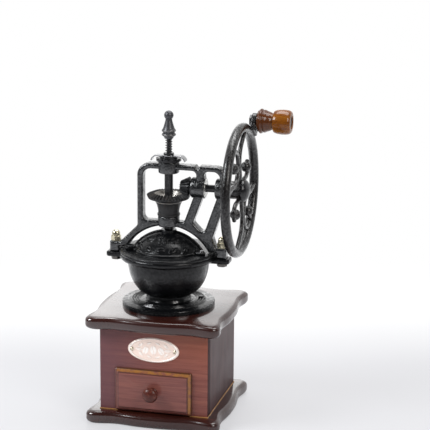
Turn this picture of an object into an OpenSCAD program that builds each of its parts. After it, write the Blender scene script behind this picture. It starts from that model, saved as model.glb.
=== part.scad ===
// Hand crank coffee grinder: a cast iron mill on a wooden box with a drawer.
// The origin is the centre of the base's underside, +Z is up, -Y is the drawer's side and
// +X is the crank wheel's side.

/* [Wooden box] */
// How far the plates reach out past the box's boards
plate_over = 11.5; // [8:0.5:20]
// Thickness of the base plate and the top plate
plate_t = 11; // [9:0.5:16]
// Depth of the coves in a plate's sides
cove_d = 2.6; // [1:0.2:5]
// Radius of a plate's corners
plate_corner_r = 7; // [3:0.5:12]
// How far a plate's rounded edge is set back at its top and bottom
edge_in = 4; // [1:0.5:6]
// Height of the rounded part of a plate's edge
edge_h = 3.8; // [2:0.1:4.4]
// Outside width and depth of the box
box_w = 97; // [88:1:104]
// Height of the box between its plates
box_h = 75; // [62:1:110]
// Thickness of the box's boards
board_t = 8; // [6:0.5:12]
// Thickness of the bead strip between the base plate and the boards
bead_t = 0.8; // [0.4:0.1:2]
// How far the bead strip stands out of the boards
bead_out = 0.6; // [0.2:0.1:1.5]
// Gap between the corner blocks and the drawer
block_gap = 0.9; // [0.6:0.1:2]
// Length of the screws that hold the base plate
base_screw_len = 22; // [18:1:26]

/* [Drawer] */
// Width of the front board's strips beside the drawer's raised front
front_side = 14; // [12.5:0.5:18]
// Height of the drawer's raised front
front_h = 38.4; // [34:0.2:48]
// Thickness of the drawer's raised front
front_t = 4; // [3:0.5:7]
// Gap under the drawer's front
front_gap = 1.2; // [0.6:0.2:3]
// Width of the chamfer around the drawer's front
front_chamfer = 2; // [0.5:0.5:4]
// How far the raised front overlaps the edge of its opening
front_lap = 2; // [1:0.5:4]
// Thickness of the drawer's sides and back
side_t = 5; // [3:0.5:7]
// Thickness of the drawer's bottom
bottom_t = 3; // [2:0.5:5]
// Gap between the drawer and what it slides on
slide_gap = 0.3; // [0.2:0.1:0.6]
// Width of the rails beside the drawer
rail_w = 5; // [3:0.5:7]
// Height of the rails beside the drawer
rail_h = 9; // [5:1:14]
// Diameter of the drawer's knob
pull_d = 13.5; // [10:0.5:18]
// Length of the drawer's knob
pull_len = 12; // [9:0.5:18]

/* [Badge] */
// Width of the oval badge
badge_w = 46; // [30:1:60]
// Height of the oval badge
badge_h = 22; // [12:1:26]
// Thickness of the badge
badge_t = 1; // [0.6:0.2:2]
// Distance between the badge's rivets
rivet_pitch = 38.5; // [24:0.5:50]

/* [Mill body] */
// Radius of the flange on the top plate
flange_r = 41; // [38:0.5:46]
// Thickness of the flange
flange_t = 4; // [3:0.5:6]
// Height of the step on the flange
flange_step = 1.2; // [0.8:0.1:2]
// Radius of the pedestal's neck
neck_r = 19; // [18:0.5:22]
// Height of the neck above the flange
neck_h = 6; // [4:0.5:12]
// Largest outside radius of the bowl, under its rim
bowl_r = 36; // [34:0.5:38]
// Height of the bowl's top above the flange
bowl_h = 46; // [44:1:56]
// Wall of the bowl
bowl_wall = 3.8; // [3:0.2:5]
// Outside radius of the rim
rim_r = 43.5; // [42:0.5:45]
// Height of the rim's band
rim_h = 8.5; // [8:0.5:11]
// Radius of the opening in the rim
mouth_r = 27; // [25:0.5:27.4]
// Thickness of the rim's flat top
lip_t = 3.6; // [2.5:0.2:5]
// How far outside the rim the bridge bolts stand
bolt_over = 4.9; // [4.5:0.1:5.5]
// How far an ear reaches past its bolt
ear_over = 7.6; // [7:0.2:9]
// Width of the ears
ear_w = 14; // [12:0.5:18]
// Thickness of the ears
ear_t = 4.5; // [3:0.5:6]
// Height of the ears' top above the rim's underside
ear_rise = 4; // [2:0.5:6]
// Distance of the flange's screws from the centre
flange_screw_r = 29.2; // [28:0.2:30]
// Length of the flange's screws
flange_screw_len = 11; // [9:0.5:12.5]

/* [Hopper] */
// Outside radius of the dome
dome_r = 37.3; // [36.6:0.1:38.6]
// Height of the dome above the rim
dome_rise = 17; // [16:0.2:17.6]
// Wall of the dome
dome_wall = 2.2; // [1.6:0.2:2.4]
// Wall of the sliding door
door_wall = 1.8; // [1.2:0.2:2.4]
// Gap between the dome and the sliding door
door_gap = 0.4; // [0.3:0.1:0.6]

/* [Bridge] */
// Height of the crank's axis above the arch
crank_rise = 34.8; // [34:0.2:37]
// Height of the bridge's top above the arch
bridge_h = 55; // [54:0.5:61]
// Width of the bridge's bars
bar_w = 5.2; // [4.6:0.2:6]
// Depth of the bridge
bridge_d = 11; // [10:0.5:12]
// Distance of the left bar's outer side from the centre
bridge_left = 27.6; // [26.5:0.2:30]
// How far the bridge's right side stands outside its bolt
bridge_over = 3.6; // [3:0.1:4]
// Radius of the arch over the dome
arch_r = 42.3; // [41.6:0.1:42.6]
// Gap between the arch and the dome's top
arch_gap = 5; // [4:0.2:5.6]
// Radius of the crank's two bearing hubs
hub_r = 9.2; // [7.5:0.1:9.6]
// Radius of the spindle's top boss
top_boss_r = 9.3; // [8:0.1:9.6]
// Radius of the spindle's lower boss
low_boss_r = 9.6; // [8:0.1:10]

/* [Gears] */
// Teeth of the large bevel gear
gear_teeth = 36; // [30:2:44]
// Teeth of the bevel pinion
pinion_teeth = 16; // [14:1:18]
// Pitch radius of the large gear at its rim
gear_pitch_r = 19; // [18:0.2:19.4]
// Length of the teeth, as a share of the cone
face_share = 0.3; // [0.25:0.01:0.34]
// Play between the teeth, as a share of a tooth
backlash = 0.2; // [0.12:0.02:0.3]
// Radius of the large gear's neck
gear_neck_r = 9.4; // [8:0.2:10]

/* [Spindle] */
// Radius of the spindle
spindle_r = 3.75; // [3.2:0.05:4]
// Distance across the spindle's two flats
spindle_flats = 6.4; // [5.2:0.1:7]
// Radius of the thin stud at the spindle's top
stud_r = 1.9; // [1.5:0.1:2]
// Running clearance of shafts, on the radius
run_gap = 0.05; // [0.02:0.01:0.08]
// Radius of the adjusting disc
disc_r = 11; // [9.5:0.5:12]
// Thickness of the adjusting disc
disc_t = 2.4; // [2:0.2:4]
// Radius of the adjusting disc's hub
disc_hub_r = 7.6; // [6:0.2:8.6]
// Reach of the lock plate's wings from the centre
wing_x = 15.2; // [14.4:0.2:16.5]
// Thickness of the lock plate
lock_t = 1.1; // [0.8:0.1:1.5]
// Width of the lock plate
lock_w = 8; // [5:0.5:9]
// Outside radius of the spring
spring_r = 3.1; // [2.9:0.1:3.6]
// Radius of the spring's wire
wire_r = 0.5; // [0.35:0.05:0.6]
// Length of the spring
spring_len = 12.6; // [10:0.2:18]
// Turns of the spring
spring_turns = 5; // [4:1:7]
// Height of the finial
finial_h = 24.4; // [20:0.2:30]
// Largest radius of the finial
finial_r = 6.2; // [5.4:0.1:7]

/* [Burrs] */
// Outside radius of the ring burr
ring_r = 19; // [18:0.2:20]
// Height of the ring burr
ring_h = 11; // [9:0.5:14]
// Radius of the cone burr at its foot
cone_r = 12; // [10:0.2:13]
// Radius of the cone burr at its top
cone_top_r = 5.6; // [5.2:0.1:8]
// Gap between the burrs at the foot
burr_gap = 0.9; // [0.7:0.1:1.6]

/* [Crank] */
// Radius of the crank's shaft
shaft_r = 3.3; // [2.8:0.1:3.6]
// Outside radius of the wheel
wheel_r = 58.5; // [55:0.5:62]
// Radius of the wheel rim's round section
tube_r = 4.2; // [3.4:0.1:4.6]
// Distance of the wheel's rim from the centre
wheel_x = 63.9; // [63.8:0.1:68]
// Width of the wheel's spokes
spoke_w = 4.8; // [4:0.2:6]
// Thickness of the wheel's spokes
spoke_t = 3.6; // [3:0.2:4.4]
// Radius of the wheel's hub and of its round nut
wheel_hub_r = 7.9; // [7:0.1:9]
// Radius of the round nut on the wheel
wheel_nut_r = 10.1; // [9:0.1:10.2]
// Height of the round nut
wheel_nut_h = 6.4; // [5.6:0.2:7]
// Radius of the balls on the wheel's scrolls
ball_r = 4.7; // [4:0.1:5.4]
// Distance of the handle from the crank's axis
throw_r = 66; // [64:0.5:70]
// Angle of the handle from the horizontal, towards the back
throw_a = 56; // [40:1:140]
// Length of the handle
handle_len = 30; // [28:0.5:34]
// Radius of the handle's barrel
handle_r = 11; // [9:0.2:13]
// Radius of the handle's pin
pin_r = 3; // [2.4:0.1:3.4]

/* [Fasteners] */
// Radius of the bridge's bolts
bolt_r = 2.5; // [2:0.1:3]
// Distance across the flats of the acorn nuts and bolt heads
nut_flats = 8; // [7:0.2:8.6]
// Height of the acorn nuts
acorn_h = 9.6; // [8:0.2:12]
// Height of the bridge's bolt heads
bolt_head = 3.2; // [2:0.1:4]
// Radius of the wood screws' heads
screw_head_r = 2.9; // [2.4:0.1:3.4]
// Radius of the wood screws
screw_r = 1.5; // [1.2:0.1:1.8]

/* [Hidden] */
$fn = 64;

// Heights of the box
base_top = plate_t;
boards_z = base_top + bead_t;
boards_h = box_h - bead_t;
box_top = base_top + box_h;
deck_z = box_top + plate_t;
half_box = box_w / 2;
plate_w = box_w + 2 * plate_over;

// The drawer hangs in an opening that is open to the base plate
front_w = box_w - 2 * front_side;
front_z = base_top + front_gap;
opening_w = front_w - 2 * front_lap;
opening_top = front_z + front_h - front_lap;
drawer_w = opening_w - 2 * slide_gap;
drawer_z = base_top + slide_gap;
drawer_top = opening_top - 1.5;
panel_back = -half_box - 0.2;
panel_y = panel_back - front_t;
drawer_y0 = panel_back + side_t;
drawer_y1 = half_box - board_t - 1;
pull_z = front_z + front_h / 2;
block_w = half_box - board_t - drawer_w / 2 - block_gap;
block_z = boards_z + 0.1;
block_h = boards_h - 0.2;
screw_inset = half_box - board_t - block_w / 2;
rail_x = drawer_w / 2 + slide_gap;
rail_y = half_box - board_t - block_w - 0.5;
badge_z = (front_z + front_h + box_top) / 2 + 0.5;
pull_screw_r = 1.5;
pull_screw_in = 6;
rivet_r = 0.8;
rivet_in = 4;

// Heights of the mill body
flange_top = deck_z + flange_t;
screw_seat = flange_top + flange_step;
neck_top = flange_top + neck_h;
rim_top = flange_top + bowl_h;
rim_z = rim_top - rim_h;
ear_top = rim_z + ear_rise;
bolt_x = rim_r + bolt_over;
bridge_right = bolt_x + bridge_over;
ear_x = bolt_x + ear_over;
throat_r = ring_r - 3.5;
seat_z = neck_top + 1.5;
ring_top = seat_z + ring_h;
outlet_r = throat_r + 0.5;
burr_fit = 0.05;

// The dome is the top of a ball, and the arch passes over it
dome_z = rim_top + dome_rise - dome_r;
dome_top = rim_top + dome_rise;
arch_top = dome_top + arch_gap;
arch_z = arch_top - arch_r;
crank_z = arch_top + crank_rise;
bridge_top = arch_top + bridge_h;
door_r = dome_r - dome_wall - door_gap;
spindle_eye_r = spindle_r + 0.6;
door_edge = 0.3;
dome_bead_r = 0.9;
dome_foot_r = sqrt(pow(dome_r, 2) - pow(rim_top - dome_z, 2));
dome_lug_a = 19;
dome_lug_h = 2.4;
dome_screw_r = 1.2;
door_pull_a = 163;
door_pull_e = 42;
door_stem_r = 1.2;
door_stem = 2.4;

// The bridge
hub_in_x0 = gear_pitch_r + 2;
hub_in_x1 = hub_in_x0 + 12.6;
hub_out_x0 = bridge_right - 9;
hub_out_x1 = bridge_right + 1;
foot_in = rim_r + 0.4;
foot_out = bolt_x + nut_flats / 2 + 0.6;
foot_top = ear_top + 9.3;
foot_step = bolt_x - nut_flats / 2 - 0.9;
leg_z = rim_top + 0.5;
bolt_in = 0.53 * acorn_h;
shoulder_z = foot_top + foot_step - bridge_left;
window_floor = arch_top + 4.2;
window_top = bridge_top - bar_w + 0.4;
strut_x = 14.9;
strut_w = 8.2;
strut_lean = (hub_in_x0 + 5 - strut_x) / (crank_z - window_floor);
gusset_r = arch_r + 6.8;
gusset_a = 48.4;
notch_w = 4.6;
notch_d = 2.8;
low_boss_top = arch_top + 8.7;
top_boss_z = bridge_top - 8.3;
top_boss_top = bridge_top + 2.2;

// The gears' cones meet where the spindle's and the crank's axes cross
pinion_pitch_r = gear_pitch_r * pinion_teeth / gear_teeth;
gear_cone = atan2(gear_teeth, pinion_teeth);
pinion_cone = 90 - gear_cone;
cone_len = sqrt(pow(gear_pitch_r, 2) + pow(pinion_pitch_r, 2));
module_mm = 2 * gear_pitch_r / gear_teeth;
addendum = 0.9 * module_mm;
dedendum = 1.15 * module_mm;
root_drop = atan2(dedendum, cone_len);
ring_lap = 1;
ring_step = 0.2;
gear_z = low_boss_top + 0.3;
dish_z = crank_z - pinion_pitch_r - 4.5;

// What stands on the bridge's top boss
disc_z = top_boss_top + 0.3;
lock_z = disc_z + disc_t + 1.6;
collar_z = lock_z + lock_t + 0.1;
collar_h = 1.8;
spring_z = collar_z + collar_h;
finial_z = spring_z + spring_len;
stud_z = disc_z + disc_t + 0.6;
stud_in = 0.41 * finial_h;
spindle_bottom = deck_z + 4;

// The crank
wheel_in_x = hub_out_x1 + 0.3;
spoke_x = wheel_x - 1.2;
nut_x = spoke_x + spoke_t - 0.8;
shaft_end = nut_x + 4;
shaft_start = 0.51 * cone_len;
key_x0 = 0.7 * cone_len;
key_x1 = hub_in_x0 - 0.8;
key_w = 2;
key_in = 1.2;
key_out = 0.9;
rim_mid = wheel_r - tube_r;
lug_x = wheel_x + 1.6;
lug_t = 4.9;
lug_w = 13.4;
pin_nut_t = 1.8;
handle_x = lug_x + lug_t + 0.4;
handle_end = handle_x + handle_len;
head_in = 3;
head_t = 1.8;
handle_y = throw_r * cos(throw_a);
handle_z = crank_z + throw_r * sin(throw_a);

// Points on an arc of radius r round [x, y]
function arc(x, y, r, a0, a1, n) = [
    for (i = [0:n]) [x + r * cos(a0 + (a1 - a0) * i / n), y + r * sin(a0 + (a1 - a0) * i / n)]
];

// Unit vector from p to q
function unit(p, q) = (q - p) / norm(q - p);

// Arc that rounds the corner b between a and c with radius r
function corner(a, b, c, r, n = 6) =
    let (u = unit(b, a), v = unit(b, c), h = acos(u * v) / 2, m = b + (u + v) / norm(u + v) * r / sin(h),
        s = b + u * r / tan(h) - m, e = b + v * r / tan(h) - m, a0 = atan2(s[1], s[0]),
        d = (atan2(e[1], e[0]) - a0 + 900) % 360 - 180)
    [for (i = [0:n]) [m[0] + r * cos(a0 + d * i / n), m[1] + r * sin(a0 + d * i / n)]];

// Outline through corners [x, y, r], each rounded with its own radius
function rounded(c) = [
    for (i = [0:len(c) - 1]) let (a = c[(i + len(c) - 1) % len(c)], b = c[i], e = c[(i + 1) % len(c)])
    each (b[2] > 0 ? corner([a[0], a[1]], [b[0], b[1]], [e[0], e[1]], b[2]) : [[b[0], b[1]]])
];

// Direction of a path at its point i
function along(p, i) = unit(p[max(i - 1, 0)], p[min(i + 1, len(p) - 1)]);

// Outline of a band of width w along a path
function band(p, w) = concat(
    [for (i = [0:len(p) - 1]) p[i] + w / 2 * [-along(p, i)[1], along(p, i)[0]]],
    [for (i = [len(p) - 1:-1:0]) p[i] - w / 2 * [-along(p, i)[1], along(p, i)[0]]]
);

// Point at t on the smooth curve from p1 to p2, with neighbours p0 and p3
function between(p0, p1, p2, p3, t) = 0.5 * (
    2 * p1 + (p2 - p0) * t + (2 * p0 - 5 * p1 + 4 * p2 - p3) * t * t + (3 * p1 - p0 - 3 * p2 + p3) * t * t * t
);

// Smooth path through points, n steps between each two
function smooth(p, n = 5) = concat(
    [for (i = [0:len(p) - 2], j = [0:n - 1])
        between(p[max(i - 1, 0)], p[i], p[i + 1], p[min(i + 2, len(p) - 1)], j / n)],
    [p[len(p) - 1]]
);

// Depth of the cove at t along a side, -1 and 1 at its ends
function cove(t) = cove_d * pow(sin(180 * pow(abs(t), 1.5)), 2);

// Front side of a plate and its right corner, for a plate of half width h
function plate_side(h) = concat(
    [for (i = [-12:11]) [(h - plate_corner_r) * i / 12, -h + cove(i / 12)]],
    arc(h - plate_corner_r, plate_corner_r - h, plate_corner_r, -90, -15, 5)
);

// Outline of a plate
function plate_outline(h) = [
    for (q = [0:3], p = plate_side(h)) [p[0] * cos(90 * q) - p[1] * sin(90 * q), p[0] * sin(90 * q) + p[1] * cos(90 * q)]
];

// Point on the cone of half angle g round -Z from the apex, at distance d and azimuth a
function cone_point(d, g, a) = [d * sin(g) * cos(a), d * sin(g) * sin(a), -d * cos(g)];

// A board, plate or block between two corners
module block(a, b) {
    translate(a) cube(b - a);
}

// A cylinder along +X from x0 to x1, on the axis through [y, z]
module bar_x(x0, x1, r, y = 0, z = crank_z) {
    translate([x0, y, z]) rotate([0, 90, 0]) cylinder(h = x1 - x0, r = r);
}

// A hexagon bar along Z
module hex_bar(z0, z1, flats) {
    translate([0, 0, z0]) cylinder(h = z1 - z0, r = flats / 2 / cos(30), $fn = 6);
}

// A shape of the XZ plane as a plate of thickness t, centred on Y = 0
module upright(t) {
    translate([0, t / 2, 0]) rotate([90, 0, 0]) linear_extrude(height = t) children();
}

// A shape of the YZ plane as a plate from x0 to x0 + t
module sideways(x0, t) {
    translate([x0, 0, 0]) rotate([90, 0, 90]) linear_extrude(height = t) children();
}

// Inset and height of a plate's rounded edge, from its underside to its top
function plate_edge() = concat(
    [for (a = [-90:30:0]) [edge_in * (1 - cos(a)), edge_h * (1 + sin(a))]],
    [for (a = [0:30:90]) [edge_in * (1 - cos(a)), plate_t - edge_h * (1 - sin(a))]]
);

// A plate with coved sides and rounded edges, with its underside at z
module plate(z) {
    outline = plate_outline(plate_w / 2);
    edge = plate_edge();
    n = len(outline);
    m = len(edge);
    polyhedron(
        [for (e = edge, p = outline) let (k = 1 - 2 * e[0] / plate_w) [k * p[0], k * p[1], z + e[1]]],
        concat(
            [[for (i = [0:n - 1]) i], [for (i = [n - 1:-1:0]) (m - 1) * n + i]],
            [for (r = [0:m - 2], i = [0:n - 1]) let (a = r * n + i, b = r * n + (i + 1) % n)
                each [[a, b + n, b], [a, a + n, b + n]]]
        )
    );
}

// A countersunk wood screw on the Z axis with its head's face at z, pointing along d
module wood_screw(z, length, d) {
    translate([0, 0, z]) mirror([0, 0, d > 0 ? 0 : 1]) {
        cylinder(h = 1.8, r1 = screw_head_r, r2 = screw_r);
        translate([0, 0, 1.8]) cylinder(h = length - 1.8, r = screw_r);
    }
}

// The hole that a countersunk wood screw needs
module wood_screw_hole(z, length, d) {
    translate([0, 0, z]) mirror([0, 0, d > 0 ? 0 : 1]) {
        translate([0, 0, -0.6]) cylinder(h = 0.7, r = screw_head_r + 0.2);
        cylinder(h = 2, r1 = screw_head_r + 0.2, r2 = screw_r + 0.05);
        cylinder(h = length + 0.1, r = screw_r + 0.05);
    }
}

// Copies at the box's four corner blocks
module at_corners() {
    for (x = [-1, 1], y = [-1, 1]) translate([x * screw_inset, y * screw_inset, 0]) children();
}

// Copies at the flange's three screws
module at_flange_screws() {
    for (i = [0:2]) rotate([0, 0, 261 + 120 * i]) translate([flange_screw_r, 0, 0]) children();
}

module base_plate() {
    color("#5a2018") difference() {
        plate(0);
        at_corners() wood_screw_hole(0.4, plate_t + 1, 1);
    }
}

module bead_strip() {
    out = half_box + bead_out;
    inner = half_box - board_t;
    color("#b98a4a") difference() {
        block([-out, -out, base_top], [out, out, boards_z]);
        block([-inner, -inner, base_top - 1], [inner, inner, boards_z + 1]);
        block([-opening_w / 2, -out - 1, base_top - 1], [opening_w / 2, -inner + 1, boards_z + 1]);
    }
}

module front_board() {
    color("#6b2a1f") difference() {
        block([-half_box, -half_box, boards_z], [half_box, board_t - half_box, box_top]);
        block([-opening_w / 2, -half_box - 1, boards_z - 1], [opening_w / 2, board_t - half_box + 1, opening_top]);
        for (x = [-1, 1]) translate([x * rivet_pitch / 2, rivet_in - half_box, badge_z]) rotate([90, 0, 0])
            cylinder(h = rivet_in + 1, r = rivet_r + 0.05);
    }
}

module back_board() {
    color("#6b2a1f") block([-half_box, half_box - board_t, boards_z], [half_box, half_box, box_top]);
}

// A side board between the front and back boards
module side_board(s) {
    x = s > 0 ? half_box - board_t : -half_box;
    color("#6b2a1f") block([x, board_t - half_box, boards_z], [x + board_t, half_box - board_t, box_top]);
}

module left_board() {
    side_board(-1);
}

module right_board() {
    side_board(1);
}

module corner_blocks() {
    color("#c9a878") difference() {
        at_corners() block([-block_w / 2, -block_w / 2, block_z], [block_w / 2, block_w / 2, block_z + block_h]);
        at_corners() translate([0, 0, block_z - 1]) cylinder(h = base_screw_len - plate_t + 3, r = screw_r + 0.05);
    }
}

module top_plate() {
    color("#5a2018") difference() {
        plate(box_top);
        translate([0, 0, box_top - 1]) cylinder(h = plate_t + 2, r = outlet_r);
        at_flange_screws() translate([0, 0, screw_seat - flange_screw_len - 1]) cylinder(h = flange_screw_len, r = screw_r + 0.05);
    }
}

module base_screws() {
    color("#b0a070") at_corners() wood_screw(0.4, base_screw_len, 1);
}

module drawer_rails() {
    color("#c9a878") for (s = [-1, 1]) {
        x = s > 0 ? rail_x : -rail_x - rail_w;
        block([x, -rail_y, base_top], [x + rail_w, rail_y, base_top + rail_h]);
    }
}

module drawer_front() {
    c = front_chamfer;
    shrink = [1 - 2 * c / front_w, 1 - 2 * c / front_h];
    color("#7a2f22") difference() {
        union() {
            translate([0, panel_back, pull_z]) rotate([90, 0, 0]) {
                linear_extrude(height = front_t - c) square([front_w, front_h], center = true);
                translate([0, 0, front_t - c]) linear_extrude(height = c, scale = shrink)
                    square([front_w, front_h], center = true);
            }
            block([-drawer_w / 2, panel_back - 0.5, front_z], [drawer_w / 2, drawer_y0, drawer_top]);
        }
        translate([0, drawer_y0 + 1, pull_z]) rotate([90, 0, 0]) cylinder(h = side_t + front_t + 2, r = pull_screw_r + 0.1);
    }
}

module drawer_sides() {
    color("#c9a878") for (s = [-1, 1]) {
        x = s > 0 ? drawer_w / 2 - side_t : -drawer_w / 2;
        block([x, drawer_y0, drawer_z], [x + side_t, drawer_y1, drawer_top]);
    }
}

module drawer_back() {
    x = drawer_w / 2 - side_t;
    color("#c9a878") block([-x, drawer_y1 - side_t, drawer_z], [x, drawer_y1, drawer_top]);
}

module drawer_bottom() {
    x = drawer_w / 2 - side_t;
    z = front_z;
    color("#d8bd8c") block([-x, drawer_y0, z], [x, drawer_y1 - side_t, z + bottom_t]);
}

module drawer_pull() {
    r = pull_d / 2;
    profile = concat(
        [[0, 0], [0.62 * r, 0], [0.62 * r, 0.08 * pull_len], [0.42 * r, 0.18 * pull_len]],
        [for (p = arc(0, 0, 1, -50, 90, 12)) [r * p[0], pull_len * (0.64 + 0.36 * p[1])]]
    );
    color("#7a2f22") difference() {
        translate([0, panel_y, pull_z]) rotate([90, 0, 0]) rotate_extrude() polygon(profile);
        translate([0, panel_y + 1, pull_z]) rotate([90, 0, 0]) cylinder(h = pull_screw_in + 1.5, r = pull_screw_r + 0.02);
    }
}

module pull_screw() {
    color("#b0a070") translate([0, drawer_y0, pull_z]) rotate([90, 0, 0]) {
        cylinder(h = side_t + front_t + pull_screw_in, r = pull_screw_r);
        translate([0, 0, -1.6]) cylinder(h = 1.6, r = 3);
    }
}

module badge() {
    color("#e8d8c8") difference() {
        translate([0, -half_box, badge_z]) rotate([90, 0, 0]) linear_extrude(height = badge_t)
            polygon([for (i = [0:71]) [badge_w / 2 * cos(5 * i), badge_h / 2 * sin(5 * i)]]);
        for (x = [-1, 1]) translate([x * rivet_pitch / 2, 1 - half_box, badge_z]) rotate([90, 0, 0])
            cylinder(h = badge_t + 2, r = rivet_r + 0.05);
    }
}

module badge_rivets() {
    color("#c8b890") for (x = [-1, 1]) translate([x * rivet_pitch / 2, -half_box, badge_z]) rotate([90, 0, 0]) {
        translate([0, 0, -rivet_in]) cylinder(h = rivet_in + badge_t, r = rivet_r);
        translate([0, 0, badge_t]) cylinder(h = 0.5, r1 = 2 * rivet_r, r2 = rivet_r);
    }
}

module mill_body() {
    z = flange_top;
    w = bowl_wall;
    bowl_foot = z + neck_h;
    bulge = bowl_r - neck_r;
    bulge_h = rim_z - bowl_foot;
    outside = concat(
        [[flange_r, deck_z], [flange_r, z - 0.8], [flange_r - 0.8, z], [neck_r + 14, z], [neck_r + 13.4, screw_seat],
         [neck_r + 7, screw_seat], [neck_r + 4.5, z + 2.4], [neck_r + 1.5, z + 3.4], [neck_r, z + 5], [neck_r, bowl_foot]],
        [for (i = [1:14]) let (t = i / 14) [neck_r + bulge * sin(90 * pow(t, 0.8)), bowl_foot + bulge_h * pow(t, 1.25)]],
        [[rim_r - 3, rim_z + 0.4], [rim_r, rim_z + 2.4], [rim_r, rim_top - 1.6], [rim_r - 1.2, rim_top]]
    );
    inside = concat(
        [[mouth_r, rim_top], [mouth_r, rim_top - lip_t], [bowl_r - w, rim_top - lip_t - 4]],
        [for (i = [14:-1:8]) let (t = i / 14)
            [neck_r + bulge * sin(90 * pow(t, 0.8)) - w, bowl_foot + bulge_h * pow(t, 1.25) + 0.6]],
        [[ring_r + burr_fit, ring_top + 0.5], [ring_r + burr_fit, seat_z], [throat_r, seat_z], [throat_r, deck_z]]
    );
    color("#24262a") difference() {
        union() {
            rotate_extrude($fn = 120) polygon(concat(outside, inside));
            for (s = [-1, 1]) translate([0, 0, ear_top - ear_t]) linear_extrude(height = ear_t) polygon([
                [s * (rim_r - 4), -ear_w / 2], [s * (ear_x - 2.5), -ear_w / 2], [s * ear_x, 2.5 - ear_w / 2],
                [s * ear_x, ear_w / 2 - 2.5], [s * (ear_x - 2.5), ear_w / 2], [s * (rim_r - 4), ear_w / 2]
            ]);
        }
        for (s = [-1, 1]) translate([s * bolt_x, 0, ear_top - ear_t - 1]) cylinder(h = ear_t + 2, r = bolt_r + 0.1);
        at_flange_screws() wood_screw_hole(screw_seat, flange_t + flange_step + 1, -1);
        at_dome_lugs() translate([0, 0, rim_top - lip_t]) cylinder(h = lip_t + 1, r = dome_screw_r + 0.05);
    }
}

module flange_screws() {
    color("#3a3c40") at_flange_screws() {
        wood_screw(screw_seat - 0.1, flange_screw_len, -1);
        translate([0, 0, screw_seat - 0.1]) cylinder(h = 1, r1 = screw_head_r, r2 = 0.6 * screw_head_r);
    }
}

// Slots between the teeth of a burr
module burr_slots(n, r0, r1, z0, z1, w, twist) {
    for (i = [0:n - 1]) rotate([0, 0, 360 * i / n]) translate([r0, 0, z0]) rotate([twist, 0, 0])
        translate([0, -w / 2, 0]) cube([r1 - r0, w, z1 - z0]);
}

module ring_burr() {
    foot_r = cone_r + burr_gap;
    color("#6a6c70") difference() {
        translate([0, 0, seat_z]) cylinder(h = ring_h, r = ring_r);
        translate([0, 0, seat_z - 0.01]) cylinder(h = ring_h + 0.02, r1 = foot_r, r2 = ring_r - 2);
        burr_slots(12, foot_r - 3, ring_r - 1.6, seat_z + 3, ring_top + 1, 1.8, 12);
    }
}

// Part of the round dome shell between radius r and r - wall, above z
module dome_shell(r, wall, z) {
    a0 = asin((z - dome_z) / r);
    a1 = asin((z - dome_z) / (r - wall));
    rotate_extrude($fn = 96) polygon(concat(
        arc(0, dome_z, r, a0, 90, 18), arc(0, dome_z, r - wall, 90, a1, 18)
    ));
}

// The half space in front of the plane y
module front_of(y) {
    translate([-100, y - 200, 0]) cube([200, 200, 400]);
}

module dome() {
    color("#1c1e21") difference() {
        union() {
            intersection() {
                dome_shell(dome_r, dome_wall, rim_top);
                front_of(0);
            }
            intersection() {
                translate([0, -dome_bead_r, dome_z]) rotate([90, 0, 0]) rotate_extrude($fn = 96)
                    translate([dome_r - 0.4, 0]) circle(r = dome_bead_r, $fn = 24);
                translate([-100, -100, rim_top]) cube([200, 200, 100]);
            }
            translate([0, 0, dome_top - dome_wall]) cylinder(h = dome_wall + 1.2, r = spindle_eye_r + 2.4);
            at_dome_lugs() translate([0, 0, rim_top]) linear_extrude(height = dome_lug_h)
                polygon([[-5.2, -4], [1, -4], [4, 0], [1, 4], [-5.2, 4]]);
        }
        translate([0, 0, rim_top]) cylinder(h = 40, r = spindle_eye_r);
        at_dome_lugs() translate([0, 0, rim_top - 1]) cylinder(h = 9, r = dome_screw_r + 0.05);
    }
}

// Copies at the dome's two lugs, with X pointing outwards from the lug's screw
module at_dome_lugs() {
    for (a = [-dome_lug_a, 180 + dome_lug_a]) rotate([0, 0, a]) translate([dome_foot_r + 3.6, 0, 0]) children();
}

module dome_screws() {
    color("#3a3c40") at_dome_lugs() {
        translate([0, 0, rim_top - lip_t + 0.4]) cylinder(h = lip_t + dome_lug_h, r = dome_screw_r);
        translate([0, 0, rim_top + dome_lug_h]) cylinder(h = 1.2, r1 = 2 * dome_screw_r, r2 = 1.4 * dome_screw_r);
    }
}

module hopper_door() {
    color("#26282c") difference() {
        intersection() {
            dome_shell(door_r, door_wall, rim_top + door_edge);
            union() {
                translate([-100, 0.3, 0]) cube([200, 200, 400]);
                cylinder(h = 400, r = spindle_eye_r + 4);
            }
        }
        translate([0, 0, rim_top]) cylinder(h = 40, r = spindle_eye_r);
        at_door_pull() cylinder(h = 12, r = door_stem_r + 0.02, center = true);
    }
}

// The place of the door's pull, with Z pointing out of the door
module at_door_pull() {
    translate([0, 0, dome_z]) rotate([0, 0, door_pull_a]) rotate([0, 90 - door_pull_e, 0])
        translate([0, 0, door_r]) children();
}

module door_pull() {
    color("#303236") at_door_pull() {
        translate([0, 0, -door_wall]) cylinder(h = door_wall + door_stem, r = door_stem_r);
        translate([0, 0, door_stem]) sphere(r = 2.2 * door_stem_r, $fn = 32);
    }
}

// Corner of the window beside the outer strut
function gusset() = [gusset_r * cos(gusset_a), arch_z + gusset_r * sin(gusset_a)];

// Outline of the bridge, from its left foot over the top to its right foot
function bridge_outline() = rounded([
    [-foot_in, leg_z, 0], [-foot_in, ear_top, 0], [-foot_out, ear_top, 0], [-foot_out, foot_top, 1],
    [-foot_step, foot_top, 1], [-bridge_left, shoulder_z, 3], [-bridge_left, bridge_top, 11],
    [bridge_right, bridge_top, 9], [bridge_right, crank_z - hub_r, 4], [foot_step - 2.9, foot_top + 8.2, 4],
    [foot_step, foot_top, 1], [foot_out, foot_top, 1], [foot_out, ear_top, 0], [foot_in, ear_top, 0],
    [foot_in, leg_z, 0]
]);

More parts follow.
